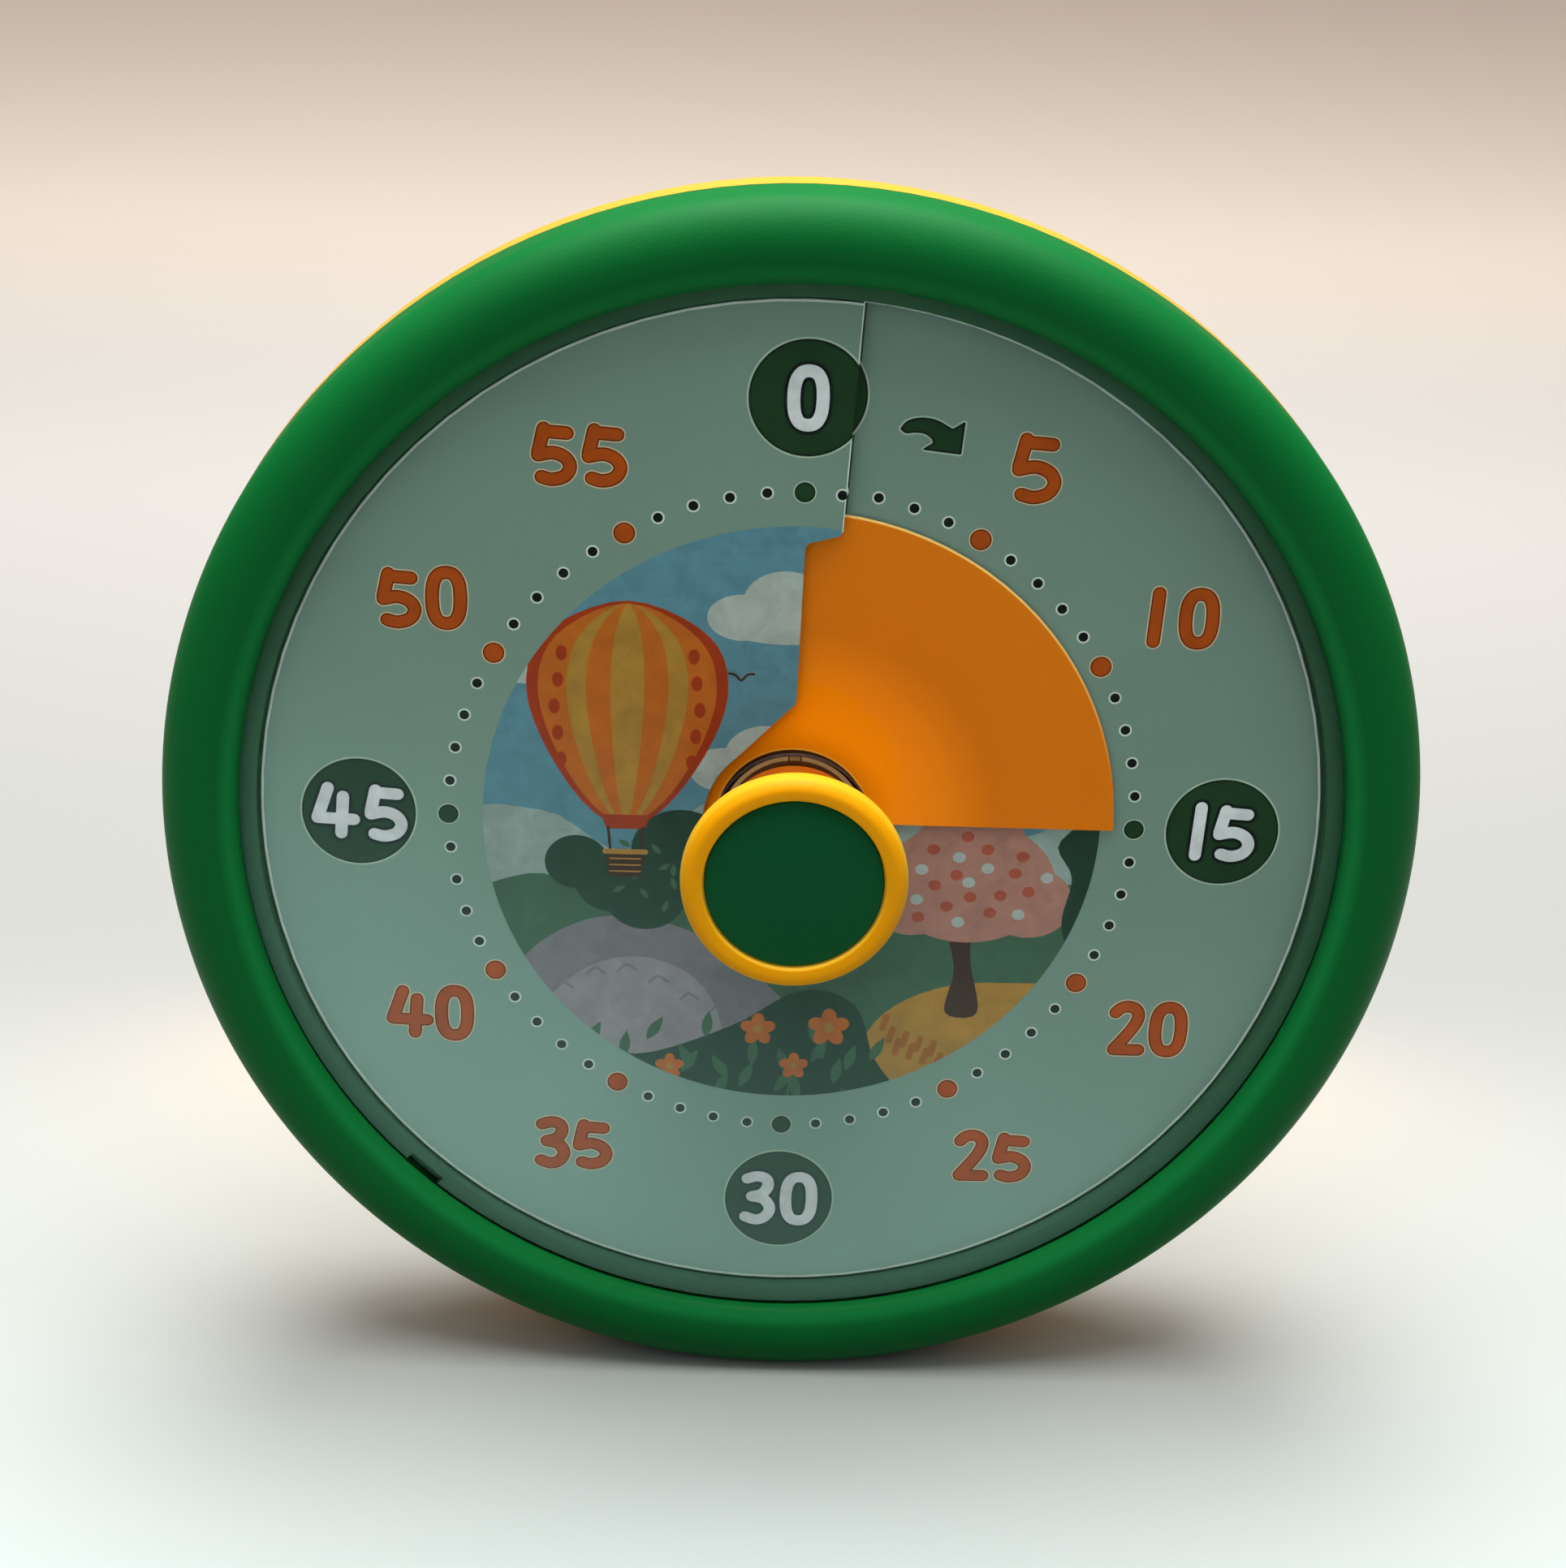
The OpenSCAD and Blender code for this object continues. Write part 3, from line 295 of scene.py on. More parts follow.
def brushed_group():
    """Poster paint under a matt varnish: broad brushed patches and fine paper tooth, with the lens's painted
    reflection mixed in.
    """
    group, ins, outs = effect(
        "brushed_paint", [("Colour", COLOUR, MID_GREY), ("Patches", VALUE, 0.2), ("Most", VALUE, 0.14)],
        [("Colour", COLOUR), ("Normal", VECTOR)])
    spot = where(group)
    patches = swing(group, {"Vector": spot, "Scale": 260, "Detail": 6, "Roughness": 0.62, "Distortion": 0.6})
    tooth = node(group, "TexNoise", {"Vector": spot, "Scale": 5200})
    bump = node(group, "Bump", {"Strength": 0.4, "Distance": 0.00002, "Height": tooth.outputs[0]})
    tone = tinted(group, ins["Colour"], patches, ins["Patches"])
    fade = node(group, "Group", {"Most": ins["Most"], "Colour": tone}, node_tree=PAINTED_REFLECTION)
    fill(group, outs, {"Colour": fade.outputs[0], "Normal": bump.outputs[0]})
    return group


def ring_mask_group():
    """White between two radii about the dial's axis, for painted highlights and painted shade on turned pieces
    and for flanges.
    """
    group, ins, outs = effect(
        "ring_mask", [("Inner", VALUE, 0.01), ("Outer", VALUE, 0.02), ("Soft", VALUE, 0.0001)],
        [("Mask", VALUE)])
    flat = node(group, "Mapping", {0: where(group), "Location": (0, 0, -AXIS_Z), "Scale": (1, 0, 1)})
    reach = node(group, "VectorMath", {0: flat.outputs[0]}, operation="LENGTH").outputs["Value"]
    gaps = (calc(group, "SUBTRACT", reach, ins["Inner"]), calc(group, "SUBTRACT", ins["Outer"], reach))
    sides = [calc(group, "DIVIDE", gap, ins["Soft"], clamp=True) for gap in gaps]
    fill(group, outs, {"Mask": calc(group, "MULTIPLY", *sides)})
    return group


MOULDED = moulded_group()
PAINTED_REFLECTION = faded_group()
BRUSHED = brushed_group()
RING_MASK = ring_mask_group()


def coloured(mat):
    """A material's node tree, its shader and the socket that its colour comes from."""
    shader = mat.node_tree.nodes["Principled BSDF"]
    return mat.node_tree, shader, shader.inputs["Base Color"].links[0].from_socket


def plastic(name, colour, rough=0.35, grain=0.3, drift=0.1, level=0.5):
    """Moulded plastic. The level is how much it shines."""
    mat, tree, shader = material(name)
    made = node(tree, "Group", {"Colour": (*colour, 1), "Drift": drift, "Grain": grain, "Roughness": rough},
                node_tree=MOULDED)
    fill(tree, shader, {"Base Color": made.outputs["Colour"], "Roughness": made.outputs["Roughness"],
                        "Normal": made.outputs["Normal"], "Specular IOR Level": level})
    return mat


BAND_FADE = 15      # half the height over which a band fades away


def banded(mat, bands):
    """Lays ring bands of another colour over a plastic, mostly painted highlights and painted shade: (inner mm,
    outer mm, softness mm, colour, share).

    A sixth value is the height over the axis, in mm, below which the band fades away.
    """
    tree, shader, colour = coloured(mat)
    for inner, outer, soft, tint, share, *fade_z in bands:
        ring = node(tree, "Group", {"Inner": inner * MM, "Outer": outer * MM, "Soft": soft * MM},
                    node_tree=RING_MASK)
        if fade_z:
            height = node(tree, "SeparateXYZ", {0: where(tree)})
            share = node(tree, "MapRange", {
                "Value": height.outputs["Z"], "From Min": AXIS_Z + (fade_z[0] - BAND_FADE) * MM,
                "From Max": AXIS_Z + (fade_z[0] + BAND_FADE) * MM, "To Max": share}).outputs[0]
        part = calc(tree, "MULTIPLY", ring.outputs["Mask"], share)
        colour = blend(tree, part, colour, (*tint, 1))
    fill(tree, shader, {"Base Color": colour})
    return mat


def faded(mat, most):
    """Mixes the lens's painted reflection into a material's colour."""
    tree, shader, colour = coloured(mat)
    fade = node(tree, "Group", {"Most": most, "Colour": colour}, node_tree=PAINTED_REFLECTION)
    fill(tree, shader, {"Base Color": fade.outputs["Colour"]})
    return mat


def translucent(mat, glow):
    """Lets a plastic scatter light, and gives it a painted glow of its own colour."""
    tree, shader, colour = coloured(mat)
    fill(tree, shader, {"Subsurface Weight": 0.3, "Subsurface Radius": (1, 0.4, 0.05),
                        "Subsurface Scale": 0.003, "Emission Color": colour, "Emission Strength": glow})
    return mat


def printed(name, colour, most):
    """Ink on the card, with the lens's painted reflection mixed in by the share called most at the foot of the
    dial.
    """
    mat, tree, shader = material(name)
    made = node(tree, "Group", {"Colour": (*colour, 1), "Patches": 0.16, "Most": most}, node_tree=BRUSHED)
    fill(tree, shader, {"Base Color": made.outputs["Colour"], "Normal": made.outputs["Normal"],
                        "Roughness": 0.6, "Specular IOR Level": 0.07})
    return mat


def metal(name, colour, rough):
    """Turned or drawn metal with fine streaks."""
    mat, tree, shader = material(name)
    stretch = node(tree, "Mapping", {0: where(tree), "Scale": (900, 90, 900)})
    noise = node(tree, "TexNoise", {"Vector": stretch.outputs[0]}).outputs[0]
    spread = node(tree, "MapRange", {"Value": noise, "To Min": rough - 0.08, "To Max": rough + 0.12})
    fill(tree, shader, {"Base Color": colour_ramp(tree, noise, [(0, [c * 0.75 for c in colour]), (1, colour)]),
                        "Metallic": 1, "Roughness": spread.outputs[0]})
    return mat


def clear(name):
    """Clear moulded acrylic that lets light through to the card behind it."""
    mat, tree, shader = material(name)
    fill(tree, shader, {"Base Color": (0.93, 0.97, 0.95, 1), "Roughness": 0.02, "IOR": 1.08,
                        "Transmission Weight": 1})
    path = node(tree, "LightPath").outputs
    open_way = node(tree, "BsdfTransparent", {"Color": (0.95, 0.97, 0.96, 1)})
    mix = node(tree, "MixShader", {"Fac": path["Is Shadow Ray"], 1: shader.outputs[0], 2: open_way.outputs[0]})
    fill(tree, tree.nodes["Material Output"], {"Surface": mix.outputs[0]})
    return mat


def board():
    """Green solder mask over a grid of paler tracks."""
    mat, tree, shader = material("board")
    upright = node(tree, "Mapping", {0: where(tree), "Rotation": (math.pi / 2, 0, 0)})
    tracks = node(tree, "TexBrick", {
        "Vector": upright.outputs[0], "Scale": 260, "Mortar Size": 0.06, "Color1": (0.012, 0.16, 0.05, 1),
        "Color2": (0.010, 0.13, 0.04, 1), "Mortar": (0.05, 0.30, 0.10, 1)})
    fill(tree, shader, {"Base Color": tracks.outputs["Color"], "Roughness": 0.35})
    return mat


def cell_jacket():
    """A plain cell: a dark jacket with a coppery shoulder band and bare metal ends."""
    mat, tree, shader = material("cell_jacket")
    first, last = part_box("battery_cell")
    split = node(tree, "SeparateXYZ", {0: where(tree)})
    along = node(tree, "MapRange", {"Value": split.outputs["X"], "From Min": first.x,
                                    "From Max": last.x}).outputs[0]
    nub, shoulder, end = 0.012, 0.68, 0.965
    steel, dark, copper = (0.55, 0.55, 0.56), (0.014, 0.016, 0.022), (0.50, 0.20, 0.07)
    jacket = [(0.0, steel), (nub, dark), (shoulder, copper), (end, steel)]
    bare = [(0.0, (1, 1, 1)), (nub, (0.1, 0.1, 0.1)), (end, (1, 1, 1))]
    fill(tree, shader, {"Base Color": colour_ramp(tree, along, jacket, "CONSTANT"),
                        "Metallic": colour_ramp(tree, along, bare, "CONSTANT"), "Roughness": 0.3})
    return mat


# The lighter green band on the bezel's inner lip is a painted highlight.
GREEN = banded(
    plastic("green_plastic", (0.002, 0.16, 0.030), rough=0.5, grain=0.5, drift=0.06, level=0.1),
    [(78.5, 81.8, 1.4, (0.006, 0.25, 0.055), 1.0)])
# The ring wall gets the lens's painted reflection: paler towards the foot of the dial, darker at the top as
# painted shade.
DARK_GREEN = faded(
    plastic("dark_green_plastic", (0.018, 0.072, 0.034), rough=0.55, grain=0.6, level=0.12), 0.09)
CAP_GREEN = plastic("cap_green_plastic", (0.004, 0.115, 0.035), rough=0.65, grain=0.8, drift=0.05, level=0.1)
YELLOW = plastic("yellow_plastic", (0.88, 0.43, 0.04), rough=0.42, grain=0.35, drift=0.04, level=0.25)
# Painted light on the knob: a dark ring of painted shade where the stem meets the collar, the stem painted
# orange-brown as shade, painted highlights on the rim's inner and outer edges, and a painted glow of the
# plastic's own colour.
KNOB_YELLOW = translucent(banded(
    plastic("knob_yellow_plastic", (1.0, 0.42, 0.001), rough=0.42, grain=0.3, drift=0.03, level=0.12),
    [(9.3, 9.98, 0.05, (0.05, 0.012, 0.003), 1.0), (9.98, 11.0, 0.2, (0.46, 0.10, 0.006), 1.0),
     (12.45, 12.7, 0.08, (1.0, 0.66, 0.08), 0.5), (15.2, 16.2, 0.35, (1.0, 0.60, 0.03), 0.7)]), 0.14)
# The card gets the lens's painted reflection: milkier towards the foot of the dial and to the left.
CARD = faded(plastic("printed_card", (0.125, 0.195, 0.168), rough=0.7, grain=0.5, drift=0.05, level=0.15), 0.3)
# Painted light on the disc: a broad brighter patch round the hub as painted reflected light from the knob, a
# painted highlight on the edge of its hole, and a painted highlight along its rim that fades out below 22 mm
# over the axis.
ORANGE = banded(
    plastic("orange_sheet", (0.56, 0.135, 0.0), rough=0.5, grain=0.1, drift=0.03, level=0.05),
    [(0.0, 29.0, 14.0, (1.0, 0.25, 0.0), 1.0), (10.5, 11.3, 0.1, (1.0, 0.42, 0.05), 0.6),
     (45.95, 47, 0.08, (0.95, 0.62, 0.20), 0.8, 22)])
# The collar's dark colour is painted shade, standing for the shaded gap round the stem; its tan ring is its
# front face.
COLLAR = banded(
    plastic("dark_plastic", (0.022, 0.006, 0.003), rough=0.6, grain=0.3, level=0.05),
    [(9.5, 10.35, 0.06, (0.62, 0.38, 0.16), 1.0)])
KEY_TAN = plastic("key_tan_plastic", (0.62, 0.38, 0.16), rough=0.5, grain=0.3, level=0.2)
CLEAR = clear("clear_plastic")
STEEL = metal("steel", (0.55, 0.55, 0.56), 0.3)
BRASS = metal("brass", (0.72, 0.48, 0.18), 0.3)
MAGNET = metal("magnet", (0.34, 0.34, 0.36), 0.35)
GEAR_WHITE = plastic("gear_plastic", (0.76, 0.73, 0.62), rough=0.4, grain=0.1, drift=0.04)
CASE_GREY = plastic("case_plastic", (0.62, 0.62, 0.60), rough=0.5, grain=0.4, drift=0.05)
BLACK = plastic("black_plastic", (0.012, 0.012, 0.014), rough=0.45, grain=0.5)
RUBBER = plastic("rubber", (0.02, 0.02, 0.021), rough=0.85, grain=0.9, drift=0.2)
BOARD = board()
CELL = cell_jacket()

# ---------------------------------------------------------------- turned pieces

TURNED_CREASE = math.radians(35)    # sharper edges than this stay crisp on turned pieces
CAD_CREASE = math.radians(28)       # and on pieces from the CAD
LEAST_R = 1e-4      # radius that stands for none, as a ring can't shrink to nothing


def turned(name, profile, verts=256):
    """A ring extruded along a closed profile of (radius, z) points about the dial's axis."""
    last_r, last_z = profile[0]
    bpy.ops.mesh.primitive_circle_add(
        vertices=verts, radius=last_r * MM, location=place(0, 0, last_z), rotation=(math.pi / 2, 0, 0))
    obj = bpy.context.object
    obj.name = name
    bpy.ops.object.transform_apply(location=True, rotation=True, scale=True)
    bpy.ops.object.mode_set(mode="EDIT")
    bpy.ops.mesh.select_all(action="SELECT")
    for r, z in profile[1:]:
        r = max(r, LEAST_R)
        bpy.ops.mesh.extrude_region_move(TRANSFORM_OT_translate={"value": (0, (last_z - z) * MM, 0)})
        bpy.ops.transform.resize(value=(r / last_r, 1, r / last_r), center_override=place(0, 0, z))
        last_r, last_z = r, z
    bpy.ops.mesh.select_all(action="SELECT")
    bpy.ops.mesh.remove_doubles(threshold=2e-6)
    bpy.ops.mesh.fill_holes(sides=0)
    bpy.ops.mesh.normals_make_consistent(inside=False)
    bpy.ops.mesh.select_all(action="DESELECT")
    bpy.ops.object.mode_set(mode="OBJECT")
    bpy.ops.object.shade_smooth_by_angle(angle=TURNED_CREASE)
    obj.select_set(False)
    return obj


def arc(cr, cz, a, b, start, stop, steps):
    """Points of an elliptical arc about (cr, cz)."""
    out = []
    for i in range(steps + 1):
        t = math.radians(start + (stop - start) * i / steps)
        out.append((cr + a * math.cos(t), cz + b * math.sin(t)))
    return out


def dress(obj, mat, body, slot, *nodes):
    """Gives a piece its material and its body, and hides the nodes of the CAD that it stands for. The slot is
    not used.
    """
    obj.data.materials.clear()
    obj.data.materials.append(mat)
    if nodes:
        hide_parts(*nodes)
    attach(obj, body)
    return obj


# The rounded front, the inner lip, and the hollow behind
bezel = turned("bezel_ring", (
    [(90.2, -5.4)] + arc(83.4, 0.4, 6.8, 5.9, 0, 90, 20)
    + arc(83.4, 4.5, 4.6, 1.8, 95, 172, 10) + [(78.85, 4.62), (78.8, 4.5), (78.8, 3.6), (80.9, 3.55)]
    + [(80.9, -3.9), (82.9, -3.9), (82.9, 4.2), (88.2, 0.4), (88.2, -5.5), (90.1, -5.5), (90.2, -5.4)]), 300)
dress(bezel, GREEN, "case", "green_plastic", "bezel")

HOLE_R = 11.3       # of the lens's hole for the knob
lens = turned("lens_window", [(HOLE_R, 2.48), (11.4, 2.38), (80.5, 2.38), (80.6, 2.48), (80.6, 3.45),
                              (80.5, 3.55), (11.45, 3.55), (HOLE_R, 3.4), (HOLE_R, 2.48)])
dress(lens, CLEAR, "case", "clear_plastic", "lens")
lens.data.materials.append(BLACK)       # the wall of the hole, black as painted shade
for face in lens.data.polygons:
    if math.hypot(face.center.x, face.center.z - AXIS_Z) < (HOLE_R + 0.05) * MM:
        face.material_index = 1


def drive_key(clock):
    """A small bevelled key on the knob's stem that drives the collar."""
    bpy.ops.mesh.primitive_cube_add(
        size=1, location=place(*polar(clock, 9.9), -1.25), rotation=(0, math.radians(clock), 0))
    key = bpy.context.object
    bpy.ops.object.mode_set(mode="EDIT")
    bpy.ops.transform.resize(value=(1.6 * MM, 4.1 * MM, 0.8 * MM), orient_type="LOCAL")
    pick_edges(key, lambda edge: True)
    bpy.ops.mesh.bevel(offset=0.08 * MM, segments=2, affect="EDGES")
    bpy.ops.object.mode_set(mode="OBJECT")
    bpy.ops.object.transform_apply(location=True, rotation=True, scale=True)
    return key


knob = turned("knob_body", (
    [(9.65, -3.4), (9.65, 4.4), (10.3, 4.5), (10.3, 17.3), (10.9, 18.4), (12.2, 18.75)]
    + arc(13.9, 21.3, 1.8, 2.45, -85, 0, 8) + arc(13.9, 21.3, 1.8, 2.4, 8, 90, 12)
    + [(13.2, 23.68)] + arc(12.95, 23.35, 0.35, 0.3, 80, 180, 5)
    + [(12.6, 21.6), (11.2, 21.6), (11.2, 18.6), (8.3, 15.6), (8.3, 6.4), (5, 6.4), (5, 12), (1.5, 12),
       (1.5, 9), (2.5, 9), (2.5, -3.4), (9.65, -3.4)]), 192)
keys = [drive_key(clock) for clock in (0, 90, 180, 270)]
bpy.ops.object.select_all(action="DESELECT")
for piece in keys + [knob]:
    piece.select_set(True)
bpy.context.view_layer.objects.active = knob
own_faces = len(knob.data.polygons)
bpy.ops.object.join()
knob.select_set(False)
dress(knob, KNOB_YELLOW, "rotor", "yellow_plastic", "knob")
knob.data.materials.append(KEY_TAN)
for face in knob.data.polygons[own_faces:]:
    face.material_index = 1

cap = turned("knob_cap_disc", [(0.01, 21.6), (12.3, 21.6), (12.4, 21.7)]
             + arc(12.0, 22.5, 0.4, 0.4, 0, 90, 5) + [(0.0, 22.92)], 192)
dress(cap, CAP_GREEN, "rotor", "green_plastic", "knob_cap")

# ---------------------------------------------------------------- print on the card

CARD_TOP = 0.2      # half the card's thickness
CARD_IN, CARD_OUT = 12.9, 76.2      # its radii
SKIN = 0.035        # height of the ink above the card
UNDER = 0.012       # and of its underside
STEP = 2.2          # rise of the card in one turn
LAP = 12.6          # clock angle at which the card's upper end stops
HUB_R = 13.0        # where the print begins
PICTURE_R = 44.5    # where the picture ends
DOTS_R, NUMERALS_R, TOP_BADGE_R, RIM_LINE_R = 49.4, 62.2, 62.6, 75.95


def smooth(points, closed=False, steps=5):
    """Points of a curve that passes evenly through the given ones."""
    n = len(points)
    out = []
    for i in range(n if closed else n - 1):
        if closed:
            p0, p1, p2, p3 = (points[(i + k) % n] for k in (-1, 0, 1, 2))
        else:
            p0, p1, p2, p3 = (points[min(max(i + k, 0), n - 1)] for k in (-1, 0, 1, 2))
        for j in range(steps):
            t = j / steps
            out.append(tuple(
                0.5 * (2 * b + (c - a) * t + (2 * a - 5 * b + 4 * c - d) * t * t
                       + (3 * b - a - 3 * c + d) * t ** 3)
                for a, b, c, d in zip(p0, p1, p2, p3)))
    if not closed:
        out.append(tuple(points[-1]))
    return out


def stroke(points, width):
    """Outline of a brush stroke with round ends."""
    half = width / 2
    left, right = [], []
    for i, (x, y) in enumerate(points):
        ax, ay = points[max(i - 1, 0)]
        bx, by = points[min(i + 1, len(points) - 1)]
        long = math.hypot(bx - ax, by - ay) or 1
        nx, ny = -(by - ay) / long * half, (bx - ax) / long * half
        left.append((x + nx, y + ny))
        right.append((x - nx, y - ny))

    def round_end(centre, start):
        a = math.atan2(start[1] - centre[1], start[0] - centre[0])
        return [(centre[0] + half * math.cos(a - math.pi * k / 6),
                 centre[1] + half * math.sin(a - math.pi * k / 6)) for k in range(1, 6)]

    return left + round_end(points[-1], left[-1]) + right[::-1] + round_end(points[0], right[0])


def oval(x, y, rx, ry=None, n=28, turn=0.0):
    """Outline of an oval, or of a circle if it has one radius."""
    ry = ry or rx
    c, s = math.cos(math.radians(turn)), math.sin(math.radians(turn))
    return [(x + rx * math.cos(t) * c - ry * math.sin(t) * s, y + rx * math.cos(t) * s + ry * math.sin(t) * c)
            for t in (math.tau * i / n for i in range(n))]


def bulge(share):
    """Squares up an oval's sine or cosine a little."""
    return math.copysign(abs(share) ** 0.8, share)


# Centre lines of the numerals in a box one high, and each box's width
NUMERALS = {
    "0": (0.62, [[(0.31 + 0.215 * bulge(math.cos(t)), 0.5 + 0.405 * bulge(math.sin(t)))
                  for t in (math.tau * i / 16 for i in range(17))]]),
    "1": (0.34, [[(0.19, 0.9), (0.15, 0.1)]]),
    "2": (0.64, [[(0.12, 0.79), (0.2, 0.87), (0.33, 0.905), (0.46, 0.85), (0.5, 0.72), (0.44, 0.55),
                  (0.3, 0.34), (0.13, 0.12)], [(0.13, 0.11), (0.54, 0.11)]]),
    "3": (0.6, [[(0.12, 0.86), (0.28, 0.905), (0.43, 0.86), (0.46, 0.72), (0.36, 0.58), (0.2, 0.53)],
                [(0.2, 0.53), (0.4, 0.48), (0.5, 0.31), (0.42, 0.15), (0.27, 0.095), (0.1, 0.15)]]),
    "4": (0.78, [[(0.29, 0.88), (0.12, 0.38)], [(0.12, 0.38), (0.68, 0.36)], [(0.52, 0.74), (0.48, 0.13)]]),
    "5": (0.68, [[(0.18, 0.82), (0.52, 0.8)], [(0.18, 0.86), (0.1, 0.49)],
                 [(0.1, 0.46), (0.32, 0.5), (0.5, 0.43), (0.57, 0.29), (0.49, 0.15), (0.31, 0.095),
                  (0.15, 0.13)]]),
}
shapes = []      # outlines in painter's order, each with its ink and whether it is in the picture


def paint(ink, outline, in_picture=False):
    """Lays a shape over the ones before it."""
    shapes.append((outline, ink, in_picture))


# How far a loose numeral stands off its minute, to the right and up, its height and its gap
PLACES = {5: (0.8, -0.45, 10.7, 0), 10: (-0.2, 1.15, 8.9, 0.2), 20: (0.05, -0.9, 9.0, 0.06),
          25: (1.05, -0.2, 8.7, 0.06), 35: (-0.05, 0.5, 8.7, 0.06), 40: (1.3, -0.85, 9.0, 0.04),
          50: (1.15, 1.45, 9.2, 0.06), 55: (0.2, 0, 9.3, 0.06)}


def numeral(text, x, y, tall, gap, layers):
    """Strokes of a number centred on (x, y): layers are (ink, stroke width) from the bottom up."""
    wide = sum(NUMERALS[d][0] for d in text) + gap * (len(text) - 1)
    for ink, width in layers:
        left = -wide / 2
        for d in text:
            box_w, lines = NUMERALS[d]
            for line in lines:
                curve = smooth(line) if len(line) > 2 else line
                paint(ink, stroke([(x + (left + px) * tall, y + (py - 0.5) * tall) for px, py in curve],
                                  width))
            left += box_w + gap


def dial_marks():
    """A dot for each minute, numerals with badges at the quarters, and the arrow for setting."""
    for minute in range(60):
        x, y = polar(minute * 6, DOTS_R)
        if minute % 15 == 0:
            paint("pale_ink", oval(x, y, 1.62))
            paint("dark_ink", oval(x, y, 1.44))
            paint("badge_ink", oval(x, y, 1.2))
        elif minute % 5 == 0:
            paint("peach_ink", oval(x, y, 1.68))
            paint("rust_ink", oval(x, y, 1.52))
            paint("orange_ink", oval(x, y, 1.32))
        else:
            paint("white_ink", oval(x, y, 0.94, n=20))
            paint("black_ink", oval(x, y, 0.7, n=18))
    for minute in range(0, 60, 5):
        x, y = polar(minute * 6, NUMERALS_R if minute else TOP_BADGE_R)
        if minute % 15 == 0:
            paint("pale_ink", oval(x, y, 8.4, n=72))
            paint("dark_ink", oval(x, y, 8.14, n=72))
            paint("badge_ink", oval(x, y, 7.85, n=72))
            numeral(str(minute), x, y, 9.3, 0.06 if minute else 0,
                    [("black_ink", 2.7), ("lilac_ink", 1.76)])
        else:
            right, up, tall, gap = PLACES[minute]
            numeral(str(minute), x + right, y + up, tall, gap,
                    [("peach_ink", 2.3), ("rust_ink", 1.96), ("orange_ink", 1.56)])
    arrow = smooth([(12.9, 58.2), (13.7, 59.2), (15.4, 59.7), (17.5, 59.5), (19.3, 58.6), (19.95, 58.25)],
                   steps=4)
    arrow += [(21.5, 59.25), (21.15, 54.95), (16.2, 55.45), (17.45, 56.25)]
    arrow += smooth([(17.3, 56.9), (16.3, 57.65), (14.9, 57.85), (13.6, 57.7), (12.9, 58.2)], steps=4)[:-1]
    for ink, width in (("pale_ink", 0.75), ("black_ink", 0.3)):
        if ink == "black_ink":
            paint("badge_ink", arrow)
        for a, b in zip(arrow, arrow[1:] + arrow[:1]):
            paint(ink, stroke([a, b], width))


def slit_line():
    """The card's cut, from the rim in towards the hub."""
    line = [polar(5.2, CARD_OUT + 5), polar(7.1, 44.3), (5.1, 43.3)]
    line += arc(1.5, 41.1, 1.2, 1.2, 90, 180, 6)
    line += arc(-1.9, 19.2, 1.8, 1.8, 0, -60, 4)
    return line + [polar(-44, CARD_IN)]


SLIT = slit_line()
OPEN = SLIT + [(0, 0), polar(100, 30), polar(60, CARD_OUT + 20)]     # where the upper end is cut away


def within(outline, points):
    """Which of the points lie inside an outline, as an array of truth values."""
    x, y = points[:, 0], points[:, 1]
    turns = np.zeros(len(points), dtype=int)
    for (ax, ay), (bx, by) in zip(outline, outline[1:] + outline[:1]):
        side = (bx - ax) * (y - ay) - (x - ax) * (by - ay)
        turns += (ay <= y) & (by > y) & (side > 0)
        turns -= (by <= y) & (ay > y) & (side < 0)
    return turns != 0


def topmost(points, shown, upper):
    """Number of the uppermost shown shape over each point, or -1 on bare card."""
    top = np.full(len(points), -1)
    x, y = points[:, 0], points[:, 1]
    in_picture = np.hypot(x, y) < PICTURE_R
    for k, (outline, ink, framed) in enumerate(shapes):
        xs, ys = zip(*outline)
        near = (x > min(xs)) & (x < max(xs)) & (y > min(ys)) & (y < max(ys)) & shown
        if framed:
            near &= in_picture
        if ink in ("edge_ink", "shade_ink"):     # the slit's painted highlight on its upper edge and its painted shadow below
            near &= (upper if ink == "edge_ink" else ~upper) & (x > 0) & (y > 0)
        hit = np.flatnonzero(near)
        top[hit[within(outline, points[hit])]] = k
    return top


def card_height(x, y, upper):
    """Height of the card's middle. Where its ends overlap, upper tells which of them is meant."""
    clock = math.degrees(math.atan2(x, y)) % 360
    if upper and clock < 90:
        clock += 360
    if not upper and clock > 270:
        clock -= 360
    return STEP * (clock / 360 - 0.5)


def closed_skin(faces, ink_of, count):
    """Adds the underside and the side walls to a sheet whose lower vertices follow its upper ones."""
    borders = {}
    for face, ink in zip(faces, ink_of):
        for a, b in zip(face, face[1:] + face[:1]):
            borders[a, b] = ink
    walls = [((b, a, a + count, b + count), ink) for (a, b), ink in borders.items() if (b, a) not in borders]
    under = [[i + count for i in reversed(face)] for face in faces]
    return faces + under + [wall for wall, _ in walls], ink_of + ink_of + [ink for _, ink in walls]


def mesh_object(name, verts, faces):
    """A new object in the scene with a mesh of these vertices and faces."""
    mesh = bpy.data.meshes.new(name)
    mesh.from_pydata(verts, [], faces)
    obj = bpy.data.objects.new(name, mesh)
    scene.collection.objects.link(obj)
    return obj


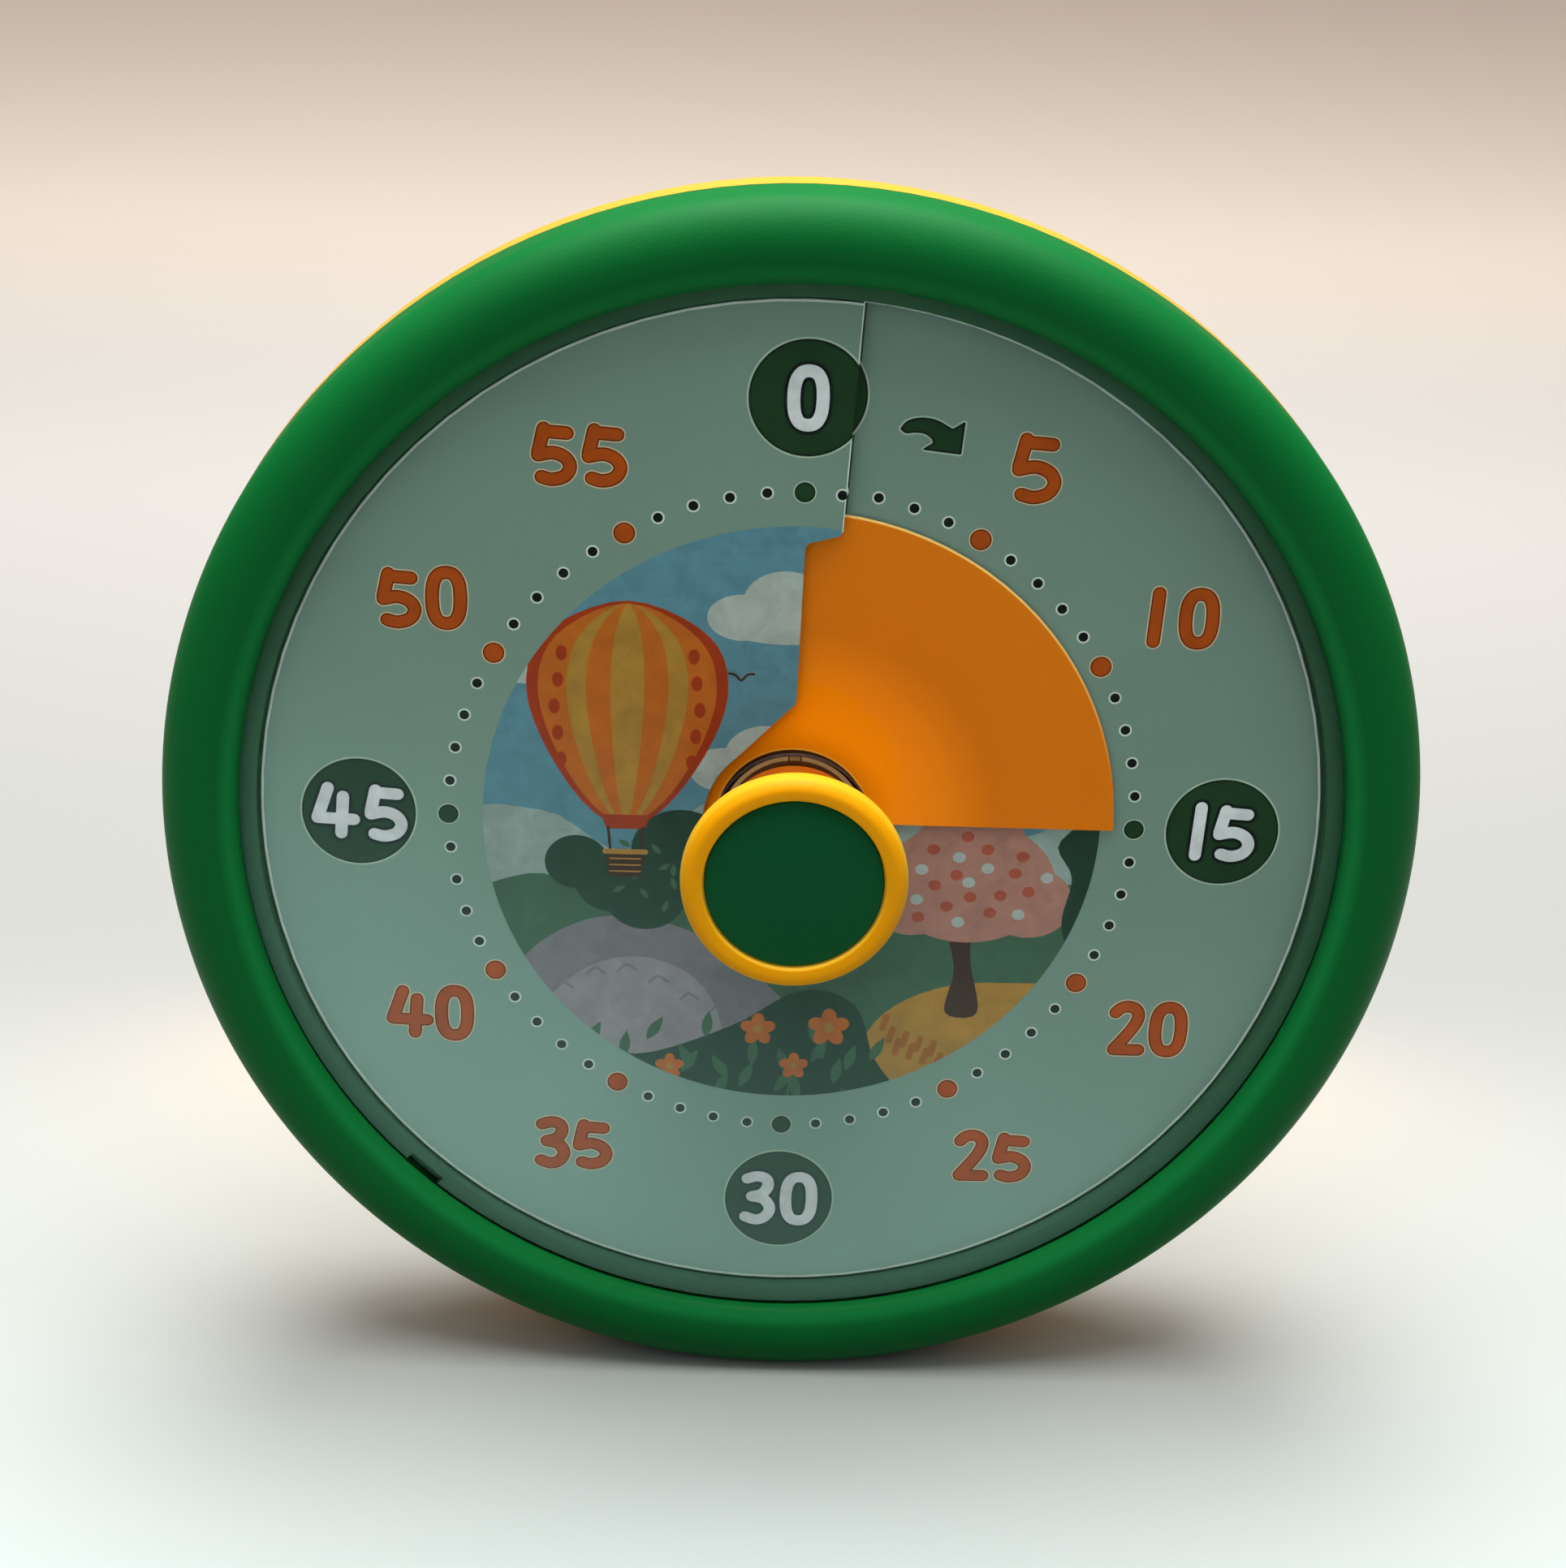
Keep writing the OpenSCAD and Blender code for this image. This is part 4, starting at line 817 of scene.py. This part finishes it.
def print_skin(name, inks):
    """One thin skin of ink that lies on the card and follows its slope and its slit."""
    coords, edges = [], []

    def add(points, closed=True):
        first, count = len(coords), len(points)
        coords.extend(Vector(p) for p in points)
        edges.extend((first + i, first + (i + 1) % count) for i in range(count if closed else count - 1))

    for outline, _, _ in shapes:
        add(outline)
    # Spokes and rings, so that no triangle is too large to follow the slope
    for clock in range(3, 360, 6):
        add([polar(clock, 12), polar(clock, 75)], closed=False)
    for r in (HUB_R, 22, 33):
        add([polar(i * 5, r) for i in range(72)])
    add(OPEN)
    points, _, parts, _, _, _ = delaunay_2d_cdt(coords, edges, [], 0, 1e-5)

    flat = np.array([tuple(p) for p in points])
    parts = [part for part in parts if len(part) == 3]
    middle = flat[np.array(parts)].mean(axis=1)
    clock = np.degrees(np.arctan2(middle[:, 0], middle[:, 1])) % 360
    cut_away = within(OPEN, middle)
    on_card = (np.hypot(middle[:, 0], middle[:, 1]) > HUB_R) & ~(cut_away & (clock > 180))
    upper = (clock > 180) | ~(cut_away | (clock > LAP))
    top = topmost(middle, on_card, upper)
    verts, low, made, ink_of, key_of = [], [], [], [], {}
    slots = list(inks)
    for part, k, above in zip(parts, top, upper):
        if k < 0:
            continue
        loop = []
        for i in part:
            key = (i, bool(above))
            if key not in key_of:
                px, py = flat[i]
                key_of[key] = len(verts)
                height = card_height(px, py, above) + CARD_TOP
                verts.append(place(px, py, height + SKIN))
                low.append(place(px, py, height + UNDER))
            loop.append(key_of[key])
        made.append(loop[::-1])
        ink_of.append(slots.index(shapes[k][1]))
    count = len(made)
    made, ink_of = closed_skin(made, ink_of, len(verts))
    obj = mesh_object(name, verts + low, made)
    mesh = obj.data
    for ink in slots:
        mesh.materials.append(inks[ink])
    mesh.update()
    for face, ink in zip(mesh.polygons, ink_of):
        face.material_index = ink
    if sum(p.normal.y for p in list(mesh.polygons)[:count]) > 0:
        mesh.flip_normals()
    return obj


def leaf(x, y, long, wide, turn):
    """A pointed leaf that grows from (x, y) at a clock angle."""
    c, t = math.cos(math.radians(turn)), math.sin(math.radians(turn))
    half = [(0, 0), (wide * 0.42, long * 0.3), (wide * 0.42, long * 0.62), (0, long)]
    shape = smooth(half, steps=3) + smooth([(-a, b) for a, b in reversed(half)], steps=3)[1:-1]
    return [(x + a * c + b * t, y - a * t + b * c) for a, b in shape]


def picture():
    """A generic landscape: sky, clouds, a striped balloon, far hills, a blossom tree and flowers."""
    def pic(ink, outline):
        paint(ink, outline, True)

    def puffs(ink, x, y, parts):
        for dx, dy, rx, ry in parts:
            pic(ink, oval(x + dx, y + dy, rx, ry, n=36))

    pic("sky_ink", oval(0, 0, PICTURE_R, n=120))
    pic("haze_ink", smooth([(-50, -4), (-36, 1), (-24, -5), (-10, 4), (2, 0), (16, 5), (32, -2), (50, 2),
                            (50, -50), (-50, -50)], True))
    cloud = [(-6, 0, 5, 3.4), (0, 2.4, 6, 4.6), (6.5, 0.4, 5.4, 3.6), (0, -1.2, 9, 2.6)]
    for x, y in ((-2, 31), (-37, 24), (24, 22), (-4, 8)):
        puffs("cloud_ink", x, y, cloud)

    # Far hills and the lilac rise
    pic("hill_ink", smooth([(-50, -18), (-38, -9), (-26, -12), (-14, -6), (0, -11), (12, -8), (26, -13),
                            (40, -9), (50, -14), (50, -50), (-50, -50)], True))
    pic("lilac_far_ink", smooth([(-46, -40), (-40, -24), (-29, -16), (-16, -17), (-5, -24), (4, -36),
                                 (0, -50), (-40, -50)], True))
    pic("lilac_near_ink", smooth([(-38, -36), (-31, -25), (-21, -22), (-12, -27), (-10, -38),
                                  (-24, -46)], True))
    for i in range(7):
        x, y = -34 + i * 4.6, -27.5 + 3.2 * math.sin(i * 0.9)
        pic("lilac_far_ink", stroke(smooth([(x, y), (x + 1.2, y + 1.1), (x + 2.6, y + 0.2)], steps=3), 0.4))

    # Dark bushes in the middle distance
    for x, y, r in ((-31, -7, 4.6), (-26, -10, 5.2), (-16, -5, 7.2), (-9, -9, 6.4), (-21, -12, 6),
                    (-2, -12, 6)):
        pic("bush_ink", oval(x, y, r, r * 0.92, n=32))
    for i in range(16):
        a = i * 2.4
        x, y = -17 + 2.9 * math.sqrt(i) * math.cos(a), -9 + 1.5 * math.sqrt(i) * math.sin(a)
        pic("leaf_ink", leaf(x, y, 2.1, 0.9, 60 * math.sin(i * 1.7)))

    # Balloon with gores, a skirt, ropes and a basket
    bx, by = -24, 17
    pic("balloon_dark_ink", smooth([(bx - 14.2, by + 2), (bx - 11.5, by + 11), (bx, by + 16),
                                    (bx + 11.5, by + 11), (bx + 14.2, by + 2), (bx + 10, by - 9),
                                    (bx + 3.4, by - 17), (bx - 3.4, by - 17), (bx - 10, by - 9)], True))
    for k, tint in ((12.6, "balloon_ink"), (8.6, "mustard_ink"), (5.8, "balloon_ink"), (2.4, "mustard_ink")):
        f = k / 14.2
        pic(tint, smooth([(bx - k, by + 2), (bx - 11.3 * f, by + 10.6), (bx, by + 15.6),
                          (bx + 11.3 * f, by + 10.6), (bx + k, by + 2), (bx + 10 * f, by - 9),
                          (bx + 3.2 * f, by - 16.6), (bx - 3.2 * f, by - 16.6), (bx - 10 * f, by - 9)], True))
    for i in range(5):
        for side in (-1, 1):
            pic("balloon_dark_ink", oval(bx + side * (10.3 - 0.5 * abs(i - 2)), by + 8 - i * 4, 0.8, 1.15,
                                         n=16))
    pic("balloon_dark_ink", [(bx - 3.6, by - 16.4), (bx + 3.6, by - 16.4), (bx + 2.7, by - 18.6),
                             (bx - 2.7, by - 18.6)])
    for side in (-1, 1):
        pic("brown_ink", stroke([(bx + side * 2.5, by - 18.4), (bx + side * 2.1, by - 22.4)], 0.4))
    pic("brown_ink", [(bx - 2.9, by - 22), (bx + 2.9, by - 22), (bx + 2.3, by - 26.2), (bx - 2.3, by - 26.2)])
    pic("mustard_ink", stroke([(bx - 2.9, by - 22.2), (bx + 2.9, by - 22.2)], 0.8))
    for i in range(3):
        pic("mustard_ink", stroke([(bx - 2.2, by - 23.3 - i), (bx + 2.2, by - 23.3 - i)], 0.22))

    # Blossom tree on a field
    pic("mustard_ink", smooth([(8, -50), (12, -34), (20, -27), (32, -25), (46, -28), (50, -50)], True))
    for i in range(22):
        x, y = 15 + (i * 7.3) % 24, -31 - (i * 4.1) % 13
        pic("ochre_ink", stroke([(x, y), (x - 0.5, y - 1.9)], 1.0))
    pic("brown_ink", smooth([(23.6, -30), (24.6, -23), (23.2, -16), (26.4, -16), (27, -22), (28.4, -30)], True))
    puffs("pink_ink", 26, -9, [(0, 0, 12.6, 9.6), (-8, -3, 6.4, 5.6), (9, -3, 6.4, 5.6), (0, 6.5, 8, 5)])
    for i in range(22):
        a, r = i * 2.4, 2.5 * math.sqrt(i)
        tint = "pink_dark_ink" if i % 3 else "cloud_ink"
        pic(tint, oval(26 + r * math.cos(a), -9 + 0.66 * r * math.sin(a), 0.95, 0.85, n=14))
    pic("bush_ink", smooth([(39, -2), (41, -8), (40, -16), (44, -24), (50, -20), (50, 4)], True))

    # Meadow with sprigs and flowers
    pic("bush_ink", smooth([(-46, -30), (-34, -35), (-22, -38), (-8, -33), (2, -27), (10, -29), (13, -37),
                            (16, -50), (-30, -54)], True))
    for i in range(26):
        x = -31 + i * 1.75
        y = -44 + 6.5 * math.sin(i * 1.9) * math.sin(i * 0.7) + 3.2
        pic("leaf_ink" if i % 2 else "hill_ink", leaf(x, y, 4.6, 1.7, 34 * math.sin(i * 2.3)))
    for x, y, r in ((-4, -33.5, 2.3), (6.5, -33, 2.7), (1.5, -39.5, 1.9), (-17, -40, 1.9)):
        pic("leaf_ink", stroke([(x, y), (x - 0.8, y - 5)], 0.5))
        for k in range(5):
            turn = 72 * k + 18
            c, t = math.cos(math.radians(turn)), math.sin(math.radians(turn))
            pic("balloon_ink", oval(x + r * 0.62 * c, y + r * 0.62 * t, r * 0.55, r * 0.42, n=18, turn=turn))
        pic("mustard_ink", oval(x, y, r * 0.3, n=14))
    for x, y in ((3, 24), (8, 27), (-8, 22)):
        pic("brown_ink", stroke(smooth([(x - 1.7, y + 0.7), (x - 0.8, y + 0.5), (x, y - 0.3),
                                        (x + 0.9, y + 0.6), (x + 1.8, y + 0.7)], steps=3), 0.35))


def inks():
    """A material for each ink. The warm ones get less painted reflection at the foot of the dial."""
    colours = {
        "white_ink": (0.44, 0.496, 0.464), "black_ink": (0.001, 0.003, 0.004),
        "pale_ink": (0.28, 0.364, 0.294), "dark_ink": (0.001, 0.006, 0.003),
        "badge_ink": (0.006, 0.028, 0.009), "lilac_ink": (0.48, 0.50, 0.54),
        "peach_ink": (0.50, 0.36, 0.23), "rust_ink": (0.075, 0.010, 0.001),
        "orange_ink": (0.285, 0.044, 0.001), "edge_ink": (0.468, 0.561, 0.468),
        "shade_ink": (0.030, 0.052, 0.044), "sky_ink": (0.070, 0.172, 0.23),
        "haze_ink": (0.197, 0.258, 0.252), "cloud_ink": (0.272, 0.313, 0.306),
        "hill_ink": (0.034, 0.082, 0.051), "lilac_far_ink": (0.136, 0.126, 0.15),
        "lilac_near_ink": (0.197, 0.18, 0.211), "bush_ink": (0.010, 0.031, 0.019),
        "leaf_ink": (0.037, 0.088, 0.048), "balloon_ink": (0.354, 0.088, 0.007),
        "balloon_dark_ink": (0.245, 0.024, 0.003), "mustard_ink": (0.286, 0.15, 0.024),
        "ochre_ink": (0.245, 0.082, 0.007), "brown_ink": (0.034, 0.010, 0.005),
        "pink_ink": (0.286, 0.136, 0.112), "pink_dark_ink": (0.272, 0.058, 0.034),
    }
    warm = ("orange_ink", "rust_ink", "peach_ink")
    return {name: printed(name, colour, 0.1 if name in warm else 0.14) for name, colour in colours.items()}


picture()
# A painted highlight along the slit's upper edge and a painted shadow beside it on the lower sheet
paint("edge_ink", stroke(SLIT[:2], 0.32))
paint("shade_ink", stroke(SLIT[:2], 0.8))
dial_marks()
for half in (0, 180):
    paint("white_ink", stroke([polar(half - 1 + i * 4.55, RIM_LINE_R) for i in range(41)], 0.3))
skin = print_skin("dial_print", inks())
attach(skin, "case")

# ---------------------------------------------------------------- the card and pieces that keep their CAD shape

def joined_copy(name, mat, body, slot):
    """A smooth-shaded copy of a node's mesh, with its loose triangles joined up."""
    bpy.ops.object.select_all(action="DESELECT")
    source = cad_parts[name]
    source.select_set(True)
    bpy.context.view_layer.objects.active = source
    bpy.ops.object.duplicate()
    obj = bpy.context.object
    obj.name = name + "_shown"
    bpy.ops.mesh.customdata_custom_splitnormals_clear()
    bpy.ops.object.mode_set(mode="EDIT")
    bpy.ops.mesh.select_all(action="SELECT")
    bpy.ops.mesh.remove_doubles(threshold=1e-6)
    bpy.ops.mesh.select_all(action="DESELECT")
    bpy.ops.object.mode_set(mode="OBJECT")
    bpy.ops.object.shade_smooth_by_angle(angle=CAD_CREASE)
    obj.select_set(False)
    dress(obj, mat, body, slot, name)


def card_sheet():
    """The card before its cut: a thin helical ring a little over one turn long."""
    verts, faces = [], []
    for clock in [4 * i for i in range(91)] + [366, 360 + LAP]:
        for r, side in ((CARD_IN, 1), (CARD_OUT, 1), (CARD_OUT, -1), (CARD_IN, -1)):
            verts.append(place(*polar(clock, r), STEP * (clock / 360 - 0.5) + side * CARD_TOP))
    for i in range(0, len(verts) - 4, 4):
        faces += [(i + k, i + (k + 1) % 4, i + 4 + (k + 1) % 4, i + 4 + k) for k in range(4)]
    faces += [(3, 2, 1, 0), tuple(range(len(verts) - 4, len(verts)))]
    sheet = mesh_object("card_sheet", verts, faces)
    bpy.context.view_layer.objects.active = sheet
    bpy.ops.object.mode_set(mode="EDIT")
    bpy.ops.mesh.select_all(action="SELECT")
    bpy.ops.mesh.normals_make_consistent(inside=False)
    bpy.ops.object.mode_set(mode="OBJECT")
    return sheet


def cut_along_slit(card):
    """Cuts the card's upper end back to the line at which its print stops."""
    base, tall = 0.5, 1.2       # clear of the card's lower end and right through the upper one
    cutter = mesh_object("slit_cutter", [place(x, y, base) for x, y in OPEN], [list(range(len(OPEN)))])
    bpy.context.view_layer.objects.active = cutter
    bpy.ops.object.mode_set(mode="EDIT")
    bpy.ops.mesh.select_all(action="SELECT")
    bpy.ops.mesh.extrude_region_move(TRANSFORM_OT_translate={"value": (0, -tall * MM, 0)})
    bpy.ops.mesh.select_all(action="SELECT")
    bpy.ops.mesh.normals_make_consistent(inside=False)
    bpy.ops.object.mode_set(mode="OBJECT")
    bpy.context.view_layer.objects.active = card
    bpy.ops.object.modifier_add(type="BOOLEAN")
    card.modifiers[-1].object = cutter
    card.modifiers[-1].solver = "EXACT"
    bpy.ops.object.modifier_apply(modifier=card.modifiers[-1].name)
    bpy.data.objects.remove(cutter)
    card.select_set(True)
    bpy.ops.object.shade_smooth_by_angle(angle=CAD_CREASE)
    card.select_set(False)


joined_copy("dial_frame", DARK_GREEN, "case", "dark_green_plastic")
card = card_sheet()
cut_along_slit(card)
dress(card, CARD, "case", "printed_card", "dial_card")
joined_copy("countdown_disc", ORANGE, "sweep", "orange_sheet")
joined_copy("disc_collar", COLLAR, "sweep", "dark_plastic")
joined_copy("back_shell", YELLOW, "case", "yellow_plastic")
joined_copy("battery_door", YELLOW, "door", "yellow_plastic")
joined_copy("foot", YELLOW, "stand", "yellow_plastic")
joined_copy("magnets", MAGNET, "case", "magnet")
joined_copy("foot_pads", RUBBER, "stand", "rubber")
joined_copy("sound_switch", BLACK, "switch", "black_plastic")
joined_copy("case_screws", STEEL, "case", "steel")

INSIDE = {
    STEEL: ["knob_screw", "arbor", "clutch_spring", "movement_screws", "bezel_screws", "board_screws",
            "contact_positive", "contact_spring", "foot_pins", "motor_can"],
    BRASS: ["arbor_bush", "motor_pinion"], GEAR_WHITE: ["main_wheel", "second_wheel"],
    CASE_GREY: ["movement_plate", "movement_cover"], BLACK: ["buzzer", "switch_body"],
    BOARD: ["circuit_board"], CELL: ["battery_cell"],
}
for mat, names in INSIDE.items():
    for name in names:
        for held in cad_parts[name].material_slots:
            held.material = mat
